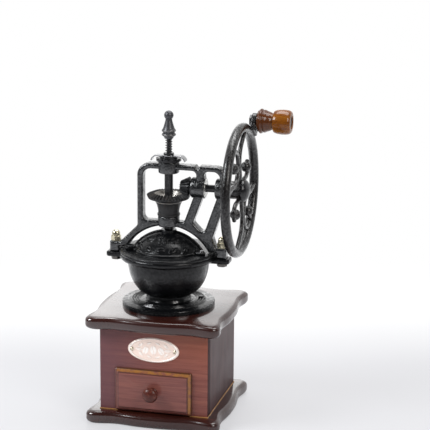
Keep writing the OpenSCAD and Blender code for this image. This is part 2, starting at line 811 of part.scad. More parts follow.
// Window round the spindle, between the left bar and the inner strut
function main_window() = rounded([
    [bar_w - bridge_left, window_floor, 4], [strut_x, window_floor, 3], [hub_in_x0 + 5, crank_z, 0],
    [hub_in_x0 + 4.5, window_top, 4], [bar_w - bridge_left, window_top, 7]
]);

// Window between the two struts
function strut_window() = rounded([
    [strut_x + strut_w, window_floor, 3], [gusset()[0], gusset()[1], 3], [bridge_right - bar_w, crank_z, 0],
    [bridge_right - bar_w, window_top, 6], [hub_in_x1 - 1.5, window_top, 4],
    [strut_x + strut_w + strut_lean * (crank_z - window_floor), crank_z, 0]
]);

module bridge() {
    notch_x = hub_in_x0 + 5.6;
    color("#202226") difference() {
        union() {
            upright(bridge_d) difference() {
                polygon(bridge_outline());
                polygon(main_window());
                polygon(strut_window());
                translate([0, arch_z]) circle(r = arch_r, $fn = 160);
                polygon([
                    [notch_x - notch_w / 2, bridge_top + 0.1], [notch_x, bridge_top - notch_d],
                    [notch_x + notch_w / 2, bridge_top + 0.1]
                ]);
            }
            bar_x(hub_in_x0, hub_in_x1, hub_r);
            bar_x(hub_out_x0, hub_out_x1, hub_r);
            translate([0, 0, top_boss_z]) cylinder(h = top_boss_top - top_boss_z, r = top_boss_r);
            translate([0, 0, arch_top - 1]) cylinder(h = low_boss_top - arch_top + 1, r = low_boss_r);
        }
        bar_x(hub_in_x0 - 1, hub_out_x1 + 1, shaft_r + run_gap);
        translate([0, 0, arch_top - 2]) cylinder(h = top_boss_top, r = spindle_r + run_gap);
        for (s = [-1, 1]) translate([s * bolt_x, 0, ear_top - 1]) cylinder(h = 20, r = bolt_r + 0.1);
    }
}

module bridge_bolts() {
    head_z = ear_top - ear_t;
    color("#77787c") for (s = [-1, 1]) translate([s * bolt_x, 0, 0]) {
        hex_bar(head_z - bolt_head, head_z, nut_flats);
        translate([0, 0, head_z - 0.1]) cylinder(h = foot_top - head_z + bolt_in, r = bolt_r);
    }
}

module acorn_nuts() {
    hex_h = 0.46 * acorn_h;
    cap_r = 0.46 * nut_flats;
    color("#cdbb86") for (s = [-1, 1]) translate([s * bolt_x, 0, 0]) difference() {
        union() {
            hex_bar(foot_top, foot_top + hex_h, nut_flats);
            translate([0, 0, foot_top + hex_h]) rotate_extrude()
                polygon(concat([[0, -1]], [for (a = [0:9:90]) [cap_r * cos(a), (acorn_h - hex_h) * sin(a)]]));
        }
        translate([0, 0, foot_top - 1]) cylinder(h = bolt_in + 1.4, r = bolt_r + 0.02);
    }
}

// A ring of n straight bevel teeth round -Z. Its pitch cone has its apex at the origin and the half
// angle g, and its teeth reach from distance d0 to d1. A tooth stands at the azimuth 360 * phase / n.
module bevel_teeth(n, g, d0, d1, phase) {
    pitch_r = cone_len * sin(g);
    half = PI * module_mm / 4 * (1 - backlash);
    tip_a = (half - addendum * tan(20)) / pitch_r * 180 / PI;
    root_a = (half + dedendum * tan(20)) / pitch_r * 180 / PI;
    tip_g = g + atan2(addendum, cone_len);
    root_g = g - root_drop;
    base_g = root_g - 3 * ring_lap;
    line = [[root_g, -root_a], [tip_g, -tip_a], [tip_g, tip_a], [root_g, root_a]];
    m = 4 * n;
    at = [for (i = [0:n - 1], p = line) [p[0], p[1] + 360 * (i + phase) / n]];
    points = concat(
        [for (p = at) cone_point(d0, p[0], p[1])], [for (p = at) cone_point(d1, p[0], p[1])],
        [for (p = at) cone_point(d1, base_g, p[1])], [for (p = at) cone_point(d0, base_g, p[1])]
    );
    polyhedron(points, [
        for (k = [0:3], i = [0:m - 1]) let (a = k * m, b = (k + 1) % 4 * m, j = (i + 1) % m)
        each [[a + i, b + j, b + i], [a + i, a + j, b + j]]
    ]);
}

// Radius and depth, at distance d from the apex, of the cone that carries a tooth ring of half angle g
function seat_point(d, g) = let (a = g - root_drop - ring_lap) [d * sin(a), -d * cos(a)];

module drive_gear() {
    d0 = cone_len * (1 - face_share);
    rim = seat_point(cone_len - ring_step, gear_cone) + [0, crank_z];
    toe = seat_point(d0 + ring_step, gear_cone) + [0, crank_z];
    n = gear_neck_r;
    color("#2a2a2b") difference() {
        union() {
            rotate_extrude($fn = 96) polygon([
                [0, gear_z], [n + 0.6, gear_z], [n + 0.6, gear_z + 1.4], [n - 0.2, gear_z + 2], [n, gear_z + 5],
                [n + 0.9, gear_z + 9], [n + 2.6, gear_z + 12.4], [rim[0] - 3.2, rim[1] - 1.7], [rim[0] - 0.3, rim[1] - 0.9],
                rim, toe, [toe[0] - 0.8, toe[1]], [toe[0] - 1.8, toe[1] - 2.2], [toe[0] - 4, dish_z + 0.8],
                [spindle_r + 2, dish_z], [0, dish_z]
            ]);
            translate([0, 0, crank_z]) bevel_teeth(gear_teeth, gear_cone, d0, cone_len, 0);
        }
        intersection() {
            translate([0, 0, gear_z - 1]) cylinder(h = 40, r = spindle_r + run_gap);
            block([-10, -spindle_flats / 2 - run_gap, gear_z - 2], [10, spindle_flats / 2 + run_gap, crank_z]);
        }
    }
}

module spindle() {
    color("#55575b") {
        difference() {
            translate([0, 0, spindle_bottom]) cylinder(h = stud_z - spindle_bottom, r = spindle_r);
            for (s = [-1, 1]) translate([-10, s * (spindle_flats / 2 + 5) - 5, spindle_bottom - 1])
                cube([20, 10, top_boss_z - spindle_bottom]);
        }
        translate([0, 0, stud_z - 1]) cylinder(h = finial_z + stud_in - stud_z + 1, r = stud_r);
    }
}

module cone_burr() {
    z = seat_z + 0.3;
    h = ring_h + 1.2;
    color("#6a6c70") difference() {
        translate([0, 0, z]) cylinder(h = h, r1 = cone_r, r2 = cone_top_r);
        intersection() {
            translate([0, 0, z - 1]) cylinder(h = h + 2, r = spindle_r + burr_fit);
            block([-10, -spindle_flats / 2 - burr_fit, z - 2], [10, spindle_flats / 2 + burr_fit, z + h + 2]);
        }
        burr_slots(8, cone_top_r - 0.6, cone_r + 1, z + 2.5, z + h + 1, 2, -14);
    }
}

module burr_nut() {
    color("#77787c") difference() {
        hex_bar(seat_z + 0.2 - 4.4, seat_z + 0.2, 11);
        translate([0, 0, spindle_bottom - 1]) cylinder(h = 12, r = spindle_r + burr_fit);
    }
}

module finial() {
    r = finial_r;
    h = finial_h;
    ball = 0.66 * r;
    ball_a = acos(0.73);
    color("#303236") translate([0, 0, finial_z]) difference() {
        rotate_extrude() polygon(concat(
            [[0, 0], [0.6 * r, 0], [0.69 * r, 0.05 * h], [0.73 * r, 0.08 * h], [0.97 * r, 0.1 * h], [r, 0.135 * h],
             [0.97 * r, 0.17 * h], [0.84 * r, 0.19 * h], [0.84 * r, 0.225 * h], [0.97 * r, 0.25 * h], [r, 0.28 * h],
             [0.97 * r, 0.315 * h], [0.85 * r, 0.345 * h], [0.76 * r, 0.4 * h], [0.63 * r, 0.51 * h],
             [0.52 * r, 0.615 * h], [0.73 * ball, h - ball * (1 + sin(ball_a))]],
            [for (i = [0:9]) let (a = -ball_a + (90 + ball_a) * i / 9) [ball * cos(a), h - ball * (1 - sin(a))]]
        ));
        translate([0, 0, -1]) cylinder(h = stud_in + 1.5, r = stud_r + 0.02);
    }
}

module lock_spring() {
    steps = 20 * spring_turns;
    sides = 6;
    mid = spring_r - wire_r;
    rise = spring_len - 2 * wire_r - 0.2;
    // Corner j of the wire's section at step i of the coil
    function wire(i, j) = let (a = 360 * spring_turns * i / steps, r = mid + wire_r * cos(360 * j / sides))
        [r * cos(a), r * sin(a), spring_z + wire_r + 0.1 + rise * i / steps + wire_r * sin(360 * j / sides)];
    color("#8a8c90") polyhedron(
        [for (i = [0:steps], j = [0:sides - 1]) wire(i, j)],
        concat(
            [[for (j = [0:sides - 1]) j], [for (j = [sides - 1:-1:0]) steps * sides + j]],
            [for (i = [0:steps - 1], j = [0:sides - 1]) let (a = i * sides + j, b = i * sides + (j + 1) % sides)
                each [[a, a + sides, b], [b, a + sides, b + sides]]]
        )
    );
}

module adjusting_disc() {
    color("#2a2c30") difference() {
        union() {
            translate([0, 0, disc_z]) cylinder(h = disc_t, r = disc_r);
            translate([0, 0, disc_z]) cylinder(h = disc_t + 1.3, r = disc_hub_r);
        }
        translate([0, 0, disc_z - 1]) cylinder(h = disc_t + 4, r = spindle_r + run_gap);
        for (i = [0:11]) rotate([0, 0, 30 * i + 15]) translate([disc_r - 1.6, -0.8, disc_z + disc_t - 0.9])
            cube([3, 1.6, 2]);
    }
}

module lock_plate() {
    mid = lock_z + lock_t / 2;
    side = [[wing_x, mid - 4.4], [wing_x - 1.6, mid - 1.6], [disc_r + 0.6, mid], [disc_r - 2, mid]];
    left = [for (p = side) [-p[0], p[1]]];
    color("#b4b6ba") difference() {
        union() {
            upright(lock_w) polygon(band(concat(left, [for (i = [3:-1:0]) side[i]]), lock_t));
            translate([0, 0, lock_z]) cylinder(h = lock_t, r = 5.4);
        }
        translate([0, 0, lock_z - 1]) cylinder(h = lock_t + 2, r = stud_r + run_gap);
    }
}

module spring_collar() {
    color("#2a2c30") difference() {
        translate([0, 0, collar_z]) cylinder(h = collar_h, r = 4.6);
        translate([0, 0, collar_z - 1]) cylinder(h = collar_h + 2, r = stud_r + run_gap);
    }
}

// The key between the crank's shaft and the pinion, with a gap all round it
module key_block(gap) {
    top = crank_z + shaft_r;
    block([key_x0 - gap, -key_w / 2 - gap, top - key_in - gap], [key_x1 + gap, key_w / 2 + gap, top + key_out + gap]);
}

module crank_shaft() {
    color("#6a6c70") difference() {
        bar_x(shaft_start, shaft_end, shaft_r);
        key_block(0);
    }
}

module pinion() {
    d0 = 0.58 * cone_len;
    toe = seat_point(d0 + ring_step, pinion_cone);
    heel = seat_point(cone_len - ring_step, pinion_cone);
    color("#2a2a2b") difference() {
        translate([0, 0, crank_z]) rotate([0, -90, 0]) union() {
            rotate_extrude() polygon([
                [0, -shaft_start - 0.2], [toe[0] - 0.3, -shaft_start - 0.2], toe, heel, [6.4, heel[1]],
                [6.4, 0.3 - hub_in_x0], [0, 0.3 - hub_in_x0]
            ]);
            bevel_teeth(pinion_teeth, pinion_cone, d0, cone_len, pinion_teeth / 2 + 0.5);
        }
        bar_x(shaft_start - 1, hub_in_x0, shaft_r + burr_fit);
        key_block(0.02);
        translate([key_x1 - key_x0, 0, 0]) key_block(0.02);
    }
}

module pinion_key() {
    color("#77787c") key_block(0);
}

// Long spoke from the hub to the rim
function stem_path() = smooth([[-1, 5], [-4.5, 16.6], [-6.3, 24], [-6, 31], [-2, 38.5], [5.5, 44.5], [15, 51.5]]);

// Side spoke from the hub to the rim
function arm_path() = smooth([[-5, 1.8], [-18, 6.5], [-30, 8.6], [-40, 8], [-53, 5]]);

// Scroll round the outer ball, from the arm over the ball to the rim
function scroll_path() = arc(-26, 23.5, 15.3, -95, 122, 24);

// Hook round the inner ball
function hook_path() = smooth([[3, 5], [11, 7.4], [19.5, 8.6], [25, 12.4], [25.6, 17.6], [22.6, 21.4]]);

module wheel() {
    inner_ball = [19.1, 17];
    outer_ball = [-28, 24.7];
    color("#26282c") difference() {
        union() {
            translate([wheel_x, 0, crank_z]) rotate([0, 90, 0]) rotate_extrude($fn = 120)
                translate([rim_mid, 0]) circle(r = tube_r, $fn = 32);
            bar_x(wheel_in_x, spoke_x + spoke_t, wheel_hub_r);
            sideways(spoke_x, spoke_t) translate([0, crank_z]) for (h = [0, 180]) rotate([0, 0, h]) {
                polygon(band(stem_path(), spoke_w));
                polygon(band(arm_path(), spoke_w));
                polygon(band(scroll_path(), 0.9 * spoke_w));
                polygon(band(hook_path(), 0.8 * spoke_w));
                polygon(band([outer_ball, 1.36 * outer_ball], spoke_w));
            }
            for (h = [0, 180], b = [inner_ball, outer_ball])
                translate([spoke_x + spoke_t / 2, 0, crank_z]) rotate([h, 0, 0]) translate([0, b[0], b[1]]) sphere(r = ball_r);
            sideways(lug_x, lug_t) translate([0, crank_z]) rotate([0, 0, throw_a]) {
                translate([rim_mid, -lug_w / 2]) square([throw_r - rim_mid, lug_w]);
                translate([throw_r, 0]) circle(r = lug_w / 2);
            }
        }
        bar_x(wheel_in_x - 1, spoke_x + spoke_t + 1, shaft_r + burr_fit);
        bar_x(lug_x - 5, lug_x + lug_t + 5, pin_r + 0.02, handle_y, handle_z);
    }
}

module wheel_nut() {
    face = spoke_x + spoke_t;
    color("#26282c") difference() {
        translate([face, 0, crank_z]) rotate([0, 90, 0]) rotate_extrude()
            polygon(concat([[0, 0]], [for (a = [0:7.5:90]) [wheel_nut_r * cos(a), wheel_nut_h * sin(a)]]));
        bar_x(face - 1, shaft_end + 0.3, shaft_r + burr_fit);
    }
}

module handle_pin() {
    color("#8a8c90") {
        bar_x(lug_x - pin_nut_t, handle_end - head_in + 0.4, pin_r, handle_y, handle_z);
        bar_x(handle_end - head_in + 0.3, handle_end - head_in + 0.3 + head_t, pin_r + 2.2, handle_y, handle_z);
    }
}

module handle_nut() {
    color("#77787c") difference() {
        translate([0, handle_y, handle_z]) rotate([0, 90, 0]) hex_bar(lug_x - pin_nut_t, lug_x, 2 * pin_r + 3);
        bar_x(lug_x - pin_nut_t - 1, lug_x + 1, pin_r + 0.02, handle_y, handle_z);
    }
}

module handle() {
    r = handle_r;
    l = handle_len;
    profile = [
        [0, 0], [0.62 * r, 0], [0.82 * r, 0.01 * l], [0.86 * r, 0.03 * l], [0.86 * r, 0.045 * l], [0.94 * r, 0.06 * l],
        [r, 0.1 * l], [0.96 * r, 0.14 * l], [0.89 * r, 0.165 * l], [0.88 * r, 0.18 * l], [0.92 * r, 0.2 * l],
        [0.91 * r, 0.225 * l], [0.83 * r, 0.29 * l], [0.755 * r, 0.37 * l], [0.68 * r, 0.43 * l],
        [0.665 * r, 0.455 * l], [0.7 * r, 0.468 * l], [0.84 * r, 0.478 * l], [0.9 * r, 0.5 * l], [0.95 * r, 0.6 * l],
        [0.99 * r, 0.75 * l], [r, 0.88 * l], [0.97 * r, 0.94 * l], [0.88 * r, 0.98 * l], [0.74 * r, l], [0, l]
    ];
    color("#8a4a16") difference() {
        translate([handle_x, handle_y, handle_z]) rotate([0, 90, 0]) rotate_extrude() polygon(profile);
        bar_x(handle_x - 1, handle_end + 1, pin_r + run_gap, handle_y, handle_z);
        bar_x(handle_end - head_in, handle_end + 1, pin_r + 3, handle_y, handle_z);
    }
}

base_plate();
bead_strip();
front_board();
back_board();
left_board();
right_board();
corner_blocks();
top_plate();
base_screws();
drawer_rails();
drawer_front();
drawer_sides();
drawer_back();
drawer_bottom();
drawer_pull();
pull_screw();
badge();
badge_rivets();
mill_body();
flange_screws();
ring_burr();
dome();
dome_screws();
bridge();
bridge_bolts();
acorn_nuts();
hopper_door();
door_pull();
drive_gear();
spindle();
cone_burr();
burr_nut();
finial();
lock_spring();
adjusting_disc();
lock_plate();
spring_collar();
crank_shaft();
pinion();
pinion_key();
wheel();
wheel_nut();
handle_pin();
handle_nut();
handle();
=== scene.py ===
import math

import bmesh
import bpy
import numpy as np
from mathutils import Matrix, Vector
from mathutils.geometry import tessellate_polygon


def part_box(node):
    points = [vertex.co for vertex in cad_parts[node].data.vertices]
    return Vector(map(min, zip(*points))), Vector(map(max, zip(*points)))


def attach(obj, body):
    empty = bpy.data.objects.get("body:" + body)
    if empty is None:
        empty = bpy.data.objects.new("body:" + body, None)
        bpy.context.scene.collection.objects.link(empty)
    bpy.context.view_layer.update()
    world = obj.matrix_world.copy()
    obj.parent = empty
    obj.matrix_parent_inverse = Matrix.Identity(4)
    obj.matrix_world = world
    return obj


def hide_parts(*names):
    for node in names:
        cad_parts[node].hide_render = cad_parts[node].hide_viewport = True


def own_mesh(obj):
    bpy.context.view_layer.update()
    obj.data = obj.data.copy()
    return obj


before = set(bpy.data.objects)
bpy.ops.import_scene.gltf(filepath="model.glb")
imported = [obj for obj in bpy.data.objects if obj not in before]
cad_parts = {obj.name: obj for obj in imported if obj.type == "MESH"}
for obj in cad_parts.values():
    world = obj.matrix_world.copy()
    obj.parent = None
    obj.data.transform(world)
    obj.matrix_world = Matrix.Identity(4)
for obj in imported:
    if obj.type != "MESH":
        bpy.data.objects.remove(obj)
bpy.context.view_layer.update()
MM = 0.001


# ---------------------------------------------------------------- Table, light and camera
# The mill stands on a pale sweep of paper among four soft boxes, as small kitchen goods are
# shown. A long lens looks down on it from the drawer's side, a little to the right.
class Value:
    """A number or colour that runs through a finish's nodes. Arithmetic on it adds Math nodes."""

    def __init__(self, finish, socket):
        self.finish, self.socket = finish, socket

    def maths(self, operation, *numbers):
        return self.finish.node("ShaderNodeMath", dict(enumerate(numbers)), operation=operation)

    def sine(self):
        return self.maths("SINE", self)

    def size(self):
        return self.maths("ABSOLUTE", self)

    def larger(self, other):
        return self.maths("MAXIMUM", self, other)

    def long(self, other):
        """The length of two Values at right angles: (self^2 + other^2)^0.5."""
        return (self * self + other * other) ** 0.5

    def step(self, low, high):
        """0 below low, 1 above high, and a smooth S between them."""
        sockets = {"Value": self, "From Min": low, "From Max": high}
        return self.finish.node("ShaderNodeMapRange", sockets, interpolation_type="SMOOTHSTEP")


# Each sign makes a Math node, with the Value on its left or on its right.
signs = {"add": "ADD", "sub": "SUBTRACT", "mul": "MULTIPLY", "truediv": "DIVIDE", "pow": "POWER"}
for sign, operation in signs.items():
    setattr(Value, f"__{sign}__", lambda one, two, does=operation: one.maths(does, one, two))
    setattr(Value, f"__r{sign}__", lambda one, two, does=operation: one.maths(does, two, one))


class Finish:
    """A material made of nodes, whose surface is one Principled shader, or the nodes of another owner."""

    def __init__(self, name, owner=None):
        self.material = owner or bpy.data.materials.new(name)
        self.material.use_nodes = True
        self.tree = self.material.node_tree
        self.surface = self.tree.nodes.get("Principled BSDF")

    def node(self, kind, sockets=None, out=0, **settings):
        """Adds a node, first its settings, then the values or links of its sockets, and gives one output."""
        made = self.tree.nodes.new(kind)
        for key, value in settings.items():
            if key == "stops":
                ramp = made.color_ramp.elements
                while len(ramp) < len(value):
                    ramp.new(0.5)
                for stop, (place, colour) in zip(ramp, value):
                    stop.position, stop.color = place, (*colour, 1)
            else:
                setattr(made, key, value)
        for key, value in (sockets or {}).items():
            self.set(made.inputs[key], value)
        return Value(self, made.outputs[out])

    def set(self, socket, value):
        """Links a Value to a socket, or writes a plain number or colour into it."""
        if isinstance(value, Value):
            self.tree.links.new(value.socket, socket)
        elif hasattr(socket.default_value, "__len__") and len(value) == 3 and len(socket.default_value) == 4:
            socket.default_value = (*value, 1)
        else:
            socket.default_value = value

    def place(self):
        """The place on the object, in metres."""
        return self.node("ShaderNodeTexCoord", out="Object")

    def axes(self, vector=None):
        """The X, Y and Z of a vector, or of the place on the object, as three Values."""
        split = self.node("ShaderNodeSeparateXYZ", {0: vector or self.place()})
        return [Value(self, s) for s in split.socket.node.outputs]

    def noise(self, scale, detail=3.0, roughness=0.5, distortion=0.0):
        """Noise over the object, with one scale or a scale for each axis."""
        place = self.place()
        if np.ndim(scale):
            place, scale = self.node("ShaderNodeMapping", {"Vector": place, "Scale": scale}), 1.0
        sockets = {"Vector": place, "Scale": scale, "Detail": detail}
        sockets |= {"Roughness": roughness, "Distortion": distortion}
        return self.node("ShaderNodeTexNoise", sockets)

    def blend(self, share, first, second):
        """Mixes two colours."""
        return self.node("ShaderNodeMix", {0: share, 6: first, 7: second}, 2, data_type="RGBA")

    def ramp(self, value, *stops):
        return self.node("ShaderNodeValToRGB", {"Fac": value}, stops=stops)

    def bump(self, height, depth, strength=1.0):
        """Bumps of a depth in metres, where height runs from 0 to 1."""
        return self.node("ShaderNodeBump", {"Height": height, "Distance": depth, "Strength": strength})

    def show(self, **sockets):
        """Sets the shader's sockets, with _ for a space in their names, and gives the material."""
        for key, value in sockets.items():
            self.set(self.surface.inputs[key.replace("_", " ")], value)
        return self.material


def placed(name, data):
    """A new object in the scene."""
    made = bpy.data.objects.new(name, data)
    bpy.context.scene.collection.objects.link(made)
    return made


def shape(name, points, faces):
    """An object from an array of points in metres and a list of faces."""
    mesh = bpy.data.meshes.new(name)
    mesh.from_pydata(points.tolist(), [], faces)
    mesh.validate()
    return placed(name, mesh)


look_turn, look_down, look_roll = (math.radians(angle) for angle in (14.011, 13.897, 0.434))
look_at = Vector((0, 0, 0.13706))
camera_back, camera_right, camera_up = 1.476931, 0.04052, 0.039664

paper = Finish("pale_paper")
x, y, z = paper.axes()
away_x, away_y = 0.242, 0.970
depth = y * away_y - x * away_x
# Painted shade: the paper is greyer at and in front of the mill and white far behind it, and part of what the
# camera sees of it is a glow, not lit paper.
tone = paper.ramp(depth.step(0.10, 0.37), (0.0, (0.70, 0.70, 0.72)), (1.0, (1.0, 1.0, 1.0)))
glow = paper.node("ShaderNodeEmission", {"Color": tone, "Strength": 1.0})
paper.show(Base_Color=tone, Roughness=0.32, Specular_IOR_Level=0.25)
seen = paper.node("ShaderNodeLightPath", out="Is Camera Ray")
glow_share = seen * (depth.step(0.15, 0.5) * 0.3 + 0.7)
lit = Value(paper, paper.surface.outputs[0])
both = paper.node("ShaderNodeMixShader", {0: glow_share, 1: lit, 2: glow})
paper.tree.links.new(both.socket, paper.tree.nodes["Material Output"].inputs["Surface"])
paper_reach = 9.0
corners = np.array([[-1, -1, 0], [1, -1, 0], [1, 1, 0], [-1, 1, 0]]) * paper_reach
sweep_paper = shape("paper_sweep", corners, [[0, 1, 2, 3]])
sweep_paper.data.materials.append(paper.material)

world = bpy.data.worlds.new("studio")
bpy.context.scene.world = world
studio = Finish("studio", world)
seen = studio.node("ShaderNodeLightPath", out="Is Camera Ray")
seen = seen.larger(studio.node("ShaderNodeLightPath", out="Is Transmission Ray"))
mirrored = studio.node("ShaderNodeLightPath", out="Is Glossy Ray")
towards = studio.axes(studio.node("ShaderNodeTexCoord", out="Generated"))
room_light, dark_front, white = 0.30, 0.05, (1.0, 1.0, 1.0)
backdrop = towards[1].step(0.05, 0.4) * (1 - dark_front) + dark_front
strength = room_light + mirrored * (backdrop - room_light)
air = studio.tree.nodes["Background"]
studio.set(air.inputs["Strength"], strength + seen * (1 - strength))
studio.set(air.inputs["Color"], studio.blend(seen.larger(mirrored), (0.93, 0.96, 1.0), white))

for name, place, aim_z, width, height, watts, colour in (
    ("box_left", (-1.05, -0.65, 1.05), 0.13, 0.6, 0.6, 22, (0.95, 0.975, 1.0)),
    ("box_right", (1.0, -0.75, 0.95), 0.12, 0.5, 0.7, 10, (1.0, 0.97, 0.94)),
    ("box_top", (0.1, 0.3, 1.35), 0.1, 1.1, 0.7, 17, white),
    ("box_back", (-0.62, 1.45, 0.44), 0.1, 1.1, 0.5, 1.3, white),
):
    lamp = bpy.data.lights.new(name, "AREA")
    lamp.shape, lamp.size, lamp.size_y = "RECTANGLE", width, height
    lamp.energy, lamp.color = watts, colour
    soft_box = placed(name, lamp)
    soft_box.location = place
    soft_box.rotation_euler = (Vector((0, 0, aim_z)) - Vector(place)).to_track_quat("-Z", "Y").to_euler()

level = math.cos(look_down)
back = Vector((math.sin(look_turn) * level, -math.cos(look_turn) * level, math.sin(look_down)))
right = Vector((math.cos(look_turn), math.sin(look_turn), 0))
up = back.cross(right)
eye = look_at + right * camera_right + up * camera_up + back * camera_back
across = right * math.cos(look_roll) + up * math.sin(look_roll)
up = up * math.cos(look_roll) - right * math.sin(look_roll)
lens = bpy.data.cameras.new("camera")
lens.sensor_width = 36
lens.lens = 140.178307
camera = placed("camera", lens)
turned = [(across[i], up[i], back[i], eye[i]) for i in range(3)]
camera.matrix_world = Matrix(turned + [(0, 0, 0, 1)])
bpy.context.scene.camera = camera
bpy.context.scene.view_settings.view_transform = "Standard"


# ---------------------------------------------------------------- Base plate and top plate
# Two square boards of solid wood with coved sides and routed, rounded edges, painted darker red-brown as
# shade for the dark room they reflect. The lower one has four countersunk screws in its underside.
class Form:
    """The points, in millimetres, and faces of one mesh, built up from simple pieces."""

    def __init__(self):
        self.points, self.faces = np.zeros((0, 3)), []

    def add(self, points, faces):
        """Adds points and faces, given as arrays."""
        start = len(self.points)
        self.points = np.vstack([self.points, points.reshape(-1, 3)])
        self.faces += (np.asarray(faces) + start).tolist()
        return self

    def grid(self, rows, ring=True, loop=False, caps=True):
        """Quads over rows of points. A ring closes each row, a loop joins the last row to the first, and caps
        close the two end rows."""
        n, m = rows.shape[:2]
        i, j = np.arange(n if loop else n - 1), np.arange(m if ring else m - 1)
        i, j = np.meshgrid(i, j, indexing="ij")
        a, b = i * m + j, i * m + (j + 1) % m
        c, d = (i + 1) % n * m + (j + 1) % m, (i + 1) % n * m + j
        start = len(self.points)
        self.add(rows, np.stack([a, b, c, d], -1).reshape(-1, 4))
        if ring and caps and not loop:
            ends = np.arange(m)[::-1], np.arange((n - 1) * m, n * m)
            self.faces += [(end + start).tolist() for end in ends]
        return self

    def revolve(self, profile, axis="Z", centre=(0, 0), n=96, loop=False):
        """Turns (radius, height) points round an axis. The centre is the axis's place on the other two."""
        profile = np.asarray(profile, float)
        angle = np.arange(n) * 2 * math.pi / n
        u = centre[0] + profile[:, :1] * np.cos(angle)
        v = centre[1] + profile[:, :1] * np.sin(angle)
        return self.grid(self.stand(u, v, np.repeat(profile[:, 1:], n, 1), axis), loop=loop)

    def ball(self, centre, radius, n=32):
        """A ball: radius * cos(a) out and radius * sin(a) up, with its poles a hair open for the caps."""
        angle = np.linspace(-math.pi / 2, math.pi / 2, n // 2 + 1)
        profile = np.stack([radius * np.cos(angle) + 1e-4, centre[2] + radius * np.sin(angle)], -1)
        return self.revolve(profile, centre=centre[:2], n=n)

    def bar(self, path, wide, thick, side, n=16, power=2.0):
        """A bar along a path. Its section is |u / wide|^power + |v / thick|^power = 1, with v along side.
        Wide and thick are half sizes."""
        path = np.asarray(path, float)
        along = np.gradient(path, axis=0)
        side = np.broadcast_to(np.asarray(side, float), path.shape)
        across = np.cross(along, side)
        across /= np.linalg.norm(across, axis=1, keepdims=True)
        angle = np.arange(n) * 2 * math.pi / n
        u, v = (np.sign(k) * np.abs(k) ** (2 / power) for k in (np.cos(angle), np.sin(angle)))
        rows = path[:, None] + wide * u[:, None] * across[:, None] + thick * v[:, None] * side[:, None]
        return self.grid(rows)

    def plate(self, loops, low, high, edge, axis="Y", steps=4):
        """A plate between two heights along an axis, cut from closed outlines, with its edges rounded to a
        radius. The first outline is the outside and the others are windows."""
        rings = eased(low, high, edge, edge, steps)
        first, last = [], []
        for k, loop in enumerate(loops):
            after, before = np.roll(loop, -1, 0), np.roll(loop, 1, 0)
            area = np.sum(loop[:, 0] * after[:, 1] - after[:, 0] * loop[:, 1])
            if (area < 0) == (k == 0):
                loop, after, before = loop[::-1], before[::-1], after[::-1]
            one, two = loop - before, after - loop
            one, two = (e / np.linalg.norm(e, axis=1, keepdims=True) for e in (one, two))
            normal = np.stack([-(one + two)[:, 1], (one + two)[:, 0]], -1)
            normal /= np.maximum((normal**2).sum(1, keepdims=True) / 2, 0.7)
            rows = [self.level(loop + inset * normal, h, axis) for inset, h in rings]
            start = len(self.points)
            self.grid(np.array(rows), caps=False)
            first.append((start, rows[0]))
            last.append((start + (len(rings) - 1) * len(loop), rows[-1]))
        return self.cap(first).cap(last)

    def cap(self, rings):
        """Closes a flat face between rings of this mesh's points, each given as (first point, places)."""
        places = [start + i for start, row in rings for i in range(len(row))]
        flat = tessellate_polygon([[Vector(p) for p in row] for _, row in rings])
        self.faces += [[places[i] for i in triangle] for triangle in flat]
        return self

    def block(self, low, high, edge):
        """A block between two corners, with its edges along Y and its ends rounded."""
        (x0, y0, z0), (x1, y1, z1) = low, high
        corners = [(x0, z0, edge), (x1, z0, edge), (x1, z1, edge), (x0, z1, edge)]
        return self.plate([rounded(corners, 3)], y0, y1, edge, steps=3)

    @staticmethod
    def stand(u, v, h, axis):
        """Arrays of places across an axis, u and v, and along it, h, as points."""
        return np.stack({"Z": (u, v, h), "X": (h, u, v), "Y": (u, h, v)}[axis], -1)

    @staticmethod
    def level(outline, height, axis):
        """The points (u, v) of an outline, set at a height along an axis."""
        return Form.stand(outline[:, 0], outline[:, 1], np.full(len(outline), float(height)), axis)

    def make(self, name):
        """Makes the object, with its normals outwards and its edges sharp past 38 degrees."""
        made = shape(name, self.points * MM, self.faces)
        clean = bmesh.new()
        clean.from_mesh(made.data)
        bmesh.ops.remove_doubles(clean, verts=clean.verts, dist=1e-7)
        bmesh.ops.recalc_face_normals(clean, faces=clean.faces)
        clean.to_mesh(made.data)
        clean.free()
        made.data.shade_smooth()
        made.data.set_sharp_from_angle(angle=math.radians(38))
        return made


def eased(low, high, wide, tall, steps):
    """The rounded edges between two heights, as (inset, height): wide * (1 - sin(a)) in and tall * (1 - cos(a))
    up from the low one, and the same down from the high one."""
    turn = np.linspace(0, math.pi / 2, steps + 1)
    edge = [(wide * (1 - math.sin(a)), low + tall * (1 - math.cos(a))) for a in turn]
    return edge + [(inset, low + high - h) for inset, h in edge[::-1]]


def rounded(corners, n=8):
    """An outline through corners (x, y, radius), each rounded with its own radius: an arc that touches both
    sides at radius / tan(half the corner's angle) from the corner."""
    out = []
    for k, (x, y, r) in enumerate(corners):
        here = np.array([x, y], float)
        if r == 0:
            out.append([here])
            continue
        u, v = (np.array(corners[j % len(corners)][:2], float) - here for j in (k - 1, k + 1))
        u, v = u / np.linalg.norm(u), v / np.linalg.norm(v)
        half = math.acos(float(np.clip(u @ v, -1, 1))) / 2
        middle = here + (u + v) / np.linalg.norm(u + v) * r / math.sin(half)
        a, b = (here + side * r / math.tan(half) - middle for side in (u, v))
        start = math.atan2(a[1], a[0])
        sweep = (math.atan2(b[1], b[0]) - start + 3 * math.pi) % (2 * math.pi) - math.pi
        out.append(arc(*middle, r, math.degrees(start), math.degrees(start + sweep), n))
    return np.vstack(out)


def arc(x, y, r, start, end, n):
    """Points on an arc, with its angles in degrees."""
    a = np.radians(np.linspace(start, end, n + 1))
    return np.stack([x + r * np.cos(a), y + r * np.sin(a)], -1)


def span(node):
    """The lowest and highest corner of a CAD node, in millimetres."""
    low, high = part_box(node)
    return np.array(low) / MM, np.array(high) / MM


